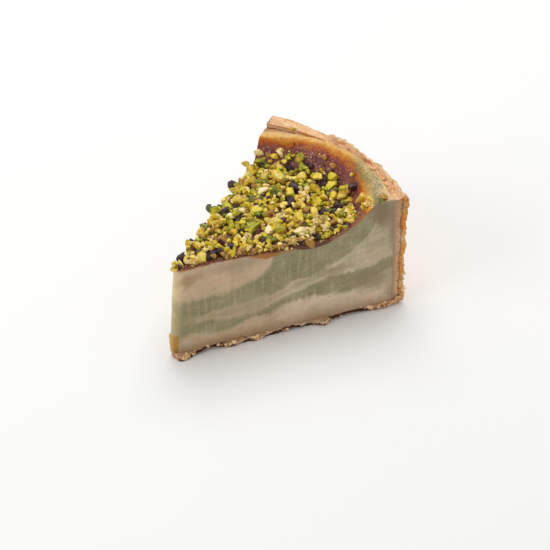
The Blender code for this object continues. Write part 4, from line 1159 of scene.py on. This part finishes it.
def kernel_material(name, ramp_colours, remnants, bumpiness, gloss):
    """Chopped pistachio kernel: waxy, cream to yellow to green, with remnants of its purple skin."""
    material, tree, shader, millimetres = new_material(
        name,
        Roughness=gloss,
        IOR=1.38,
        Subsurface_Weight=0.1,
        Subsurface_Radius=(0.9, 0.8, 0.25),
        Subsurface_Scale=0.7 * MM,
    )
    tone = add(tree, "Attribute", attribute_name="tone", output="Fac")
    toast = add(tree, "Attribute", attribute_name="toast", output="Fac")
    grain = add(tree, "TexNoise", millimetres, None, 1 / 1.1, 4.0, 0.6)
    uneven = add(tree, "TexNoise", millimetres, None, 1 / 2.4, 2.0, 0.5)
    uneven = add(tree, "Math", grain, uneven, operation="ADD")
    tone = add(tree, "Math", uneven, 0.9, tone, operation="MULTIPLY_ADD")
    tone = add(tree, "Math", tone, 0.9, operation="SUBTRACT")
    last = len(ramp_colours) - 1
    stops = [(place / last, linear(hex_colour)) for place, hex_colour in enumerate(ramp_colours)]
    colour = ramp(tree, tone, stops)
    toasted = add(tree, "MapRange", grain, 0.3, 0.6, 0.55, 1.0)
    toasted = add(tree, "Math", toasted, toast, operation="MULTIPLY")
    colour = add(tree, "MixRGB", toasted, colour, linear("A87438"))
    left_on = add(tree, "TexNoise", millimetres, None, 1 / 1.9, 3.0, 0.6)
    colour = tinged(tree, colour, linear("74464A"), left_on, 0.56, 0.64, remnants)
    tree.links.new(colour, shader.inputs["Base Color"])
    tree.links.new(add(tree, "Bump", bumpiness, 0.2 * MM, None, grain), shader.inputs["Normal"])
    return material


class TART_OT_pistachios(bpy.types.Operator):
    """Scatters the chopped pistachios and their crumbs over the custard"""

    bl_idname = "tart.pistachios"
    bl_label = "Chopped pistachios"

    def execute(self, context):
        settings = context.scene.tart
        cut_colours = ("FBE9B6", "F9E484", "F2D03A", "DACE3A", "AEB03A", "6C7830")
        side_colours = ("EED48C", "E4C036", "CAA618", "A69E18", "7A8624", "424E1E")
        skin_colours = ("5A3C42", "4A3038", "402A36", "382530", "2F202B", "271C26")
        cut = kernel_material("pistachio kernel, chopped", cut_colours, 0.0, 0.5, 0.4)
        side = kernel_material("pistachio kernel, unbroken side", side_colours, 0.65, 0.4, 0.38)
        papery = kernel_material("pistachio skin, dried", skin_colours, 0.2, 0.6, 0.34)
        shapes = [bmesh.new() for _ in range(3)]
        layers = [[shape.verts.layers.float.new(name) for name in ("tone", "toast")] for shape in shapes]
        draw = random.Random(NUT_SEED + 5)

        def add_piece(loose, kind, centre, size, number, points):
            _, tone, toast = KINDS[kind]
            values = (tone + draw.gauss(0, TONE_SPREAD), toast)
            which = 1 if kind == "dark" else loose
            add_chunk(shapes[which], layers[which], values, centre, size, number, points)

        solid_count = NUT_COUNT + len(DISTINCT_NUTS)
        spots = nut_spots(settings.small_nuts)
        for number, (x, y, height, size, kind) in enumerate(spots):
            points = PIECE_POINTS if number < solid_count else SMALL_POINTS
            add_piece(0, kind, Vector((x, y, height)), size, number, points)
        for number in range(settings.crumbs):
            across = draw.random()
            if number % STRAY_EVERY == STRAY_FIRST:
                reach = nut_field_end(across) + abs(draw.gauss(0, STRAY_SPREAD)) * MM
                kind = draw.choice(STRAY_KINDS)
            else:
                reach = nut_field_end(across) * math.sqrt(draw.random())
                kind = "dark" if draw.random() < DARK_CRUMBS else pick_kind(draw)
            reach = max(reach, NUT_FIELD_FROM)
            size = blend(CRUMB_SMALLEST, CRUMB_LARGEST, draw.random() ** 2)
            x, y = plan(reach, across, FILLING_HEIGHT_TIP)
            centre = Vector((x, y, filling_top(reach, across) + CRUMB_RAISED * size))
            add_piece(2, kind, centre, size, number, CRUMB_POINTS)
        first = settings.crumbs
        for middle, spread, across, kind, count in CRUMB_HEAPS:
            for number in range(first, first + count):
                reach = draw.gauss(middle, spread) * MM
                here = abs(draw.gauss(across, HEAP_WIDTH))
                size = blend(*HEAP_SIZES, draw.random() ** 2) * MM
                x, y = plan(reach, here, FILLING_HEIGHT_TIP)
                height = resting_height(x, y, reach, here, size, spots)
                spots.append((x, y, height, size, kind))
                add_piece(2, kind, Vector((x, y, height)), size, number, SMALL_POINTS)
            first = number  # so the next heap begins with one more piece of this one's last shape
        make_piece("pistachio_pieces", shapes[0], (cut, side), "custard")
        make_piece("pistachio_skins", shapes[1], (papery, papery), "custard")
        make_piece("pistachio_crumbs", shapes[2], (cut, side), "custard")
        return {"FINISHED"}


# Flakes: single leaves that stand off the pastry. Heights and sizes without MM are in mm.
FLAKE_CELLS = 5
FLAKE_THICKNESS = 0.22 * MM
FLAKE_THINNED = 0.6  # share of its thickness that its edge lacks
FLAKE_SEED = 9
FLAKE_ROUND = 5  # out of this many flakes, one is on the rim and one by a cut,
FLAKES_ON_WALL = 3  # and this many are on the wall
FLAKES_BY_FAR_CUT = 0.35  # share of those by a cut
WALL_FLAKE_HEIGHTS = (1.5, 57.5)
WALL_FLAKE_SIZES = (1.4, 3.6)
RIM_FLAKE_DEPTHS = (0.05, 0.9)  # shares of the way inwards
RIM_FLAKE_LEANS = (-0.4, 0.7)  # how far it faces inwards or outwards, against 1 upwards
RIM_FLAKE_SIZES = (1.2, 2.8)
CUT_FLAKE_HEIGHTS = (0.5, 2.3)
CUT_FLAKE_SIZES = (1.2, 2.6)
FLAKE_TURN = 0.6  # radians either way
FLAKE_CURLS = (0.1, 0.32)  # shares of its size, of which its ends and one of its sides lift these shares:
FLAKE_CURL_ENDS = 0.25
FLAKE_CURL_SIDE = 0.3
FLAKE_WIDTHS = (0.45, 0.8)  # shares of its size
FLAKE_RAGGED = 0.28
FLAKE_RAGGEDNESS = 1.7  # how fast its outline changes
FLAKE_MOTTLE = 0.4  # how much its value varies over it, and from its back to its front
FLAKE_FRONT = 0.3
CRUMBS_BY_NEAR_CUT = 0.6  # share of the pastry's crumbs
PASTRY_CRUMB_SIZES = (0.8, 2.4)
PASTRY_CRUMB_RAISED = 0.4  # share of its size that its middle lies above the underside, at least,
PASTRY_CRUMB_PILED = 2.0  # and the most that it lies higher
WALL_CRUMB_EVERY = 8  # one crumb in this many clings to the wall
WALL_CRUMB_FIRST = 4  # the number of the first that does
PASTRY_CRUMB_TONES = (-0.1, 0.6)
CRUMB_CLUSTERS = ((2, 9), (23, 31), (35, 41), (62, 73), (90, 101), (2, 104))  # reach in mm along a cut
FOOT_LEAVES = ((102.5, 1.8, 4.4), (104.8, 3.6, 3.6))  # off the wall's foot: reach, height and size in mm
WALL_CRUMBS_TO = 26 * MM  # how high crumbs cling to the corner of the wall


def flake_spots(count):
    """(point, outward, along, size) of each flake: most on the wall, the others on the rim or by a cut."""
    draw = random.Random(FLAKE_SEED)
    spots = []
    for number in range(count):
        across = draw.random()
        angle = HALF_ANGLE * (2 * across - 1)
        outward = Vector((math.cos(angle), math.sin(angle), 0))
        along = Vector((-math.sin(angle), math.cos(angle), 0))
        if number % FLAKE_ROUND < FLAKES_ON_WALL:
            height = draw.uniform(*WALL_FLAKE_HEIGHTS) * MM
            point = placed(wall_outer(height, across), across, height)
            size = draw.uniform(*WALL_FLAKE_SIZES) * MM
        elif number % FLAKE_ROUND == FLAKES_ON_WALL:
            across *= LAYERED_TO
            depth = draw.uniform(*RIM_FLAKE_DEPTHS)
            reach = blend(wall_outer(CRUST_HEIGHT, across), wall_inner(CRUST_HEIGHT, across), depth)
            point = placed(reach, across, rim_height(depth, across))
            outward = (outward * draw.uniform(*RIM_FLAKE_LEANS) + Vector((0, 0, 1))).normalized()
            size = draw.uniform(*RIM_FLAKE_SIZES) * MM
        else:
            side = 1 if draw.random() < FLAKES_BY_FAR_CUT else 0
            reach = draw.uniform(*draw.choice(CRUMB_CLUSTERS)) * MM
            height = draw.uniform(*CUT_FLAKE_HEIGHTS) * MM
            point = placed(reach, side, height, base_flake(reach, side, height / BASE_TOP))
            along = Vector((math.cos(HALF_ANGLE), (2 * side - 1) * math.sin(HALF_ANGLE), 0))
            outward = Vector((-math.sin(HALF_ANGLE), (2 * side - 1) * math.cos(HALF_ANGLE), 0))
            size = draw.uniform(*CUT_FLAKE_SIZES) * MM
        spots.append((point, outward, along, size))
    # By the near cut two leaves have curled off the foot of the wall.
    along = Vector((math.cos(HALF_ANGLE), -math.sin(HALF_ANGLE), 0))
    outward = Vector((-math.sin(HALF_ANGLE), -math.cos(HALF_ANGLE), 0))
    for reach, height, size in FOOT_LEAVES:
        spots.append((placed(reach * MM, 0, height * MM, 0.5 * MM), outward, along, size * MM))
    return spots


def add_flake(shape, layer, point, outward, along, size, seed):
    """One thin curled plate of dough with a ragged outline, lying against the crust."""
    draw = random.Random(seed)
    upward = outward.cross(along)
    turn = draw.uniform(-FLAKE_TURN, FLAKE_TURN)
    first = along * math.cos(turn) + upward * math.sin(turn)
    second = outward.cross(first)
    curl = draw.uniform(*FLAKE_CURLS)
    width = size * draw.uniform(*FLAKE_WIDTHS)
    grid = {}
    for a in range(FLAKE_CELLS + 1):
        for b in range(FLAKE_CELLS + 1):
            u, v = a / FLAKE_CELLS * 2 - 1, b / FLAKE_CELLS * 2 - 1
            round_u, round_v = u * math.sqrt(1 - v * v / 2), v * math.sqrt(1 - u * u / 2)
            outline = Vector((round_u * FLAKE_RAGGEDNESS + seed, round_v * FLAKE_RAGGEDNESS, 0))
            ragged = 1 + FLAKE_RAGGED * noise.noise(outline)
            lift = curl * size * (FLAKE_CURL_ENDS * round_u**2 + FLAKE_CURL_SIDE * max(round_v, 0) ** 2)
            middle = first * (round_u * size * 0.5 * ragged) + second * (round_v * width * 0.5 * ragged)
            thin = FLAKE_THICKNESS * (1 - FLAKE_THINNED * max(abs(u), abs(v)) ** 4)
            mottle = FLAKE_MOTTLE * noise.noise(Vector((seed, u, v)))
            for side in (0, 1):
                offset = middle + outward * (lift + (side - 0.5) * thin)
                grid[a, b, side] = shape.verts.new(RING_CENTRE + point + offset)
                grid[a, b, side][layer] = mottle + FLAKE_FRONT * side
    last = FLAKE_CELLS
    for a in range(last):
        for b in range(last):
            corners = (a, b), (a + 1, b), (a + 1, b + 1), (a, b + 1)
            shape.faces.new([grid[(*corner, 1)] for corner in corners])
            shape.faces.new([grid[(*corner, 0)] for corner in corners[::-1]])
    for step in range(last):
        for p, q in (
            ((step, 0), (step + 1, 0)),
            ((last, step), (last, step + 1)),
            ((step + 1, last), (step, last)),
            ((0, step + 1), (0, step)),
        ):
            shape.faces.new([grid[(*p, 0)], grid[(*q, 0)], grid[(*q, 1)], grid[(*p, 1)]])


def flake_material(name, toasted, pale):
    """Bits of dough baked thin and dry, so dull: toasted in patches, and darker behind than in front."""
    material, tree, shader, millimetres = new_material(name, Roughness=0.68)
    leaf = add(tree, "Attribute", attribute_name="leaf", output="Fac")
    fine = add(tree, "TexNoise", millimetres, None, 1 / 0.9, 4.0, 0.6)
    level = add(tree, "Math", leaf, fine, operation="ADD")
    colour = tinged(tree, toasted, pale, level, 0.3, 0.9)
    tree.links.new(colour, shader.inputs["Base Color"])
    tree.links.new(add(tree, "Bump", 0.5, 0.2 * MM, None, fine), shader.inputs["Normal"])
    return material


class TART_OT_flakes(bpy.types.Operator):
    """Adds the flakes that stand off the crust's wall, rim and base"""

    bl_idname = "tart.flakes"
    bl_label = "Flakes"

    def execute(self, context):
        settings = context.scene.tart
        shape = bmesh.new()
        layer = shape.verts.layers.float.new("leaf")
        for number, spot in enumerate(flake_spots(settings.flakes)):
            add_flake(shape, layer, *spot, number)
        for face in shape.faces:
            face.smooth = True
        bmesh.ops.recalc_face_normals(shape, faces=shape.faces[:])
        leaf = flake_material("pastry leaf, toasted", linear("A8642C"), linear("EEBE84"))
        make_piece("pastry_flakes", shape, (leaf,), "crust")

        shape = bmesh.new()
        layer = shape.verts.layers.float.new("leaf")
        draw = random.Random(FLAKE_SEED + 1)
        for number in range(settings.pastry_crumbs):
            side = 0 if draw.random() < CRUMBS_BY_NEAR_CUT else 1
            reach = draw.uniform(*draw.choice(CRUMB_CLUSTERS)) * MM
            size = blend(*PASTRY_CRUMB_SIZES, draw.random() ** 2) * MM
            height = underside(reach, side) + PASTRY_CRUMB_RAISED * size
            height += draw.uniform(0, PASTRY_CRUMB_PILED) * MM
            centre = placed(reach, side, height, base_flake(reach, side, height / BASE_TOP))
            if number % WALL_CRUMB_EVERY == WALL_CRUMB_FIRST:
                height = draw.uniform(size, WALL_CRUMBS_TO)
                centre = placed(wall_outer(height, side), side, height)
            tone = draw.uniform(*PASTRY_CRUMB_TONES)
            add_chunk(shape, (layer,), (tone,), centre, size, number, SMALL_POINTS)
        crumb = flake_material("pastry crumb, dry", linear("B4743C"), list(settings.rim))
        make_piece("pastry_crumbs", shape, (crumb, crumb), "crust")
        return {"FINISHED"}


# The photograph's camera: its turn about the slice, its height over the horizon, its roll, and how
# far the ring's centre is from it, along its own axes.
CAMERA_TURN = math.radians(-44.14)
CAMERA_ELEVATION = math.radians(40.23)
CAMERA_ROLL = math.radians(0.40)
CAMERA_LENS = 122.87
CAMERA_OFFSET = Vector((43.36, 36.28, 809.2)) * MM

# The two softboxes, which face the slice, and the floor.
KEY_PLACE = Vector((0.30, 0.26, 1.05))
KEY_SIZE = 0.95
FILL_PLACE = Vector((-0.85, 0.3, 0.6))
FILL_SIZE = 0.6
FLOOR_HALF_SIZE = 4.0


class TART_OT_stage(bpy.types.Operator):
    """Sets out the pale floor, the soft studio light and the camera"""

    bl_idname = "tart.stage"
    bl_label = "Stage"

    def execute(self, context):
        scene = context.scene
        settings = scene.tart
        scene.view_settings.view_transform = "Standard"

        shape = bmesh.new()
        bmesh.ops.create_grid(shape, x_segments=1, y_segments=1, size=FLOOR_HALF_SIZE)
        material = new_material("white studio board, matt", Roughness=0.8, Base_Color=settings.floor)[0]
        floor = make_thing("floor", shape, (material,))

        scene.world = bpy.data.worlds.new("white room")
        scene.world.use_nodes = True
        background = scene.world.node_tree.nodes["Background"]
        background.inputs["Color"].default_value = (1, 1, 1, 1)
        background.inputs["Strength"].default_value = settings.surroundings

        for name, place, size, power in (
            ("overhead softbox", KEY_PLACE, KEY_SIZE, settings.key_power),
            ("left softbox", FILL_PLACE, FILL_SIZE, settings.fill_power),
        ):
            light = bpy.data.lights.new(name, "AREA")
            light.size = size
            light.energy = power
            lamp = bpy.data.objects.new(name, light)
            lamp.location = place
            lamp.rotation_euler = (-place).to_track_quat("-Z", "Y").to_euler()
            scene.collection.objects.link(lamp)

        level_back = Vector((math.sin(CAMERA_TURN), -math.cos(CAMERA_TURN), 0)) * math.cos(CAMERA_ELEVATION)
        back = level_back + Vector((0, 0, math.sin(CAMERA_ELEVATION)))
        level_right = Vector((math.cos(CAMERA_TURN), math.sin(CAMERA_TURN), 0))
        right = Matrix.Rotation(CAMERA_ROLL, 3, back) @ level_right
        axes = Matrix((right, back.cross(right), back)).transposed()
        camera = bpy.data.objects.new("camera", bpy.data.cameras.new("camera"))
        camera.data.lens = CAMERA_LENS
        camera.matrix_world = Matrix.Translation(RING_CENTRE + axes @ CAMERA_OFFSET) @ axes.to_4x4()
        scene.collection.objects.link(camera)
        scene.camera = camera
        return {"FINISHED"}


class TART_PT_panel(bpy.types.Panel):
    """Lists the settings and the pieces of the slice"""

    bl_idname = "TART_PT_panel"
    bl_label = "Custard tart slice"
    bl_space_type = "VIEW_3D"
    bl_region_type = "UI"
    bl_category = "Tart"

    def draw(self, context):
        for name in TartSettings.__annotations__:
            self.layout.prop(context.scene.tart, name)
        for operator in OPERATORS:
            self.layout.operator(operator.bl_idname)


OPERATORS = (TART_OT_stage, TART_OT_crust, TART_OT_flakes, TART_OT_custard, TART_OT_pistachios)
CLASSES = (TartSettings, *OPERATORS, TART_PT_panel)


def register():
    for kind in CLASSES:
        bpy.utils.register_class(kind)
    bpy.types.Scene.tart = PointerProperty(type=TartSettings)


def unregister():
    del bpy.types.Scene.tart
    for kind in reversed(CLASSES):
        bpy.utils.unregister_class(kind)


def main():
    register()
    bpy.ops.tart.stage()
    bpy.ops.tart.crust()
    bpy.ops.tart.flakes()
    bpy.ops.tart.custard()
    bpy.ops.tart.pistachios()


if __name__ == "__main__":
    main()
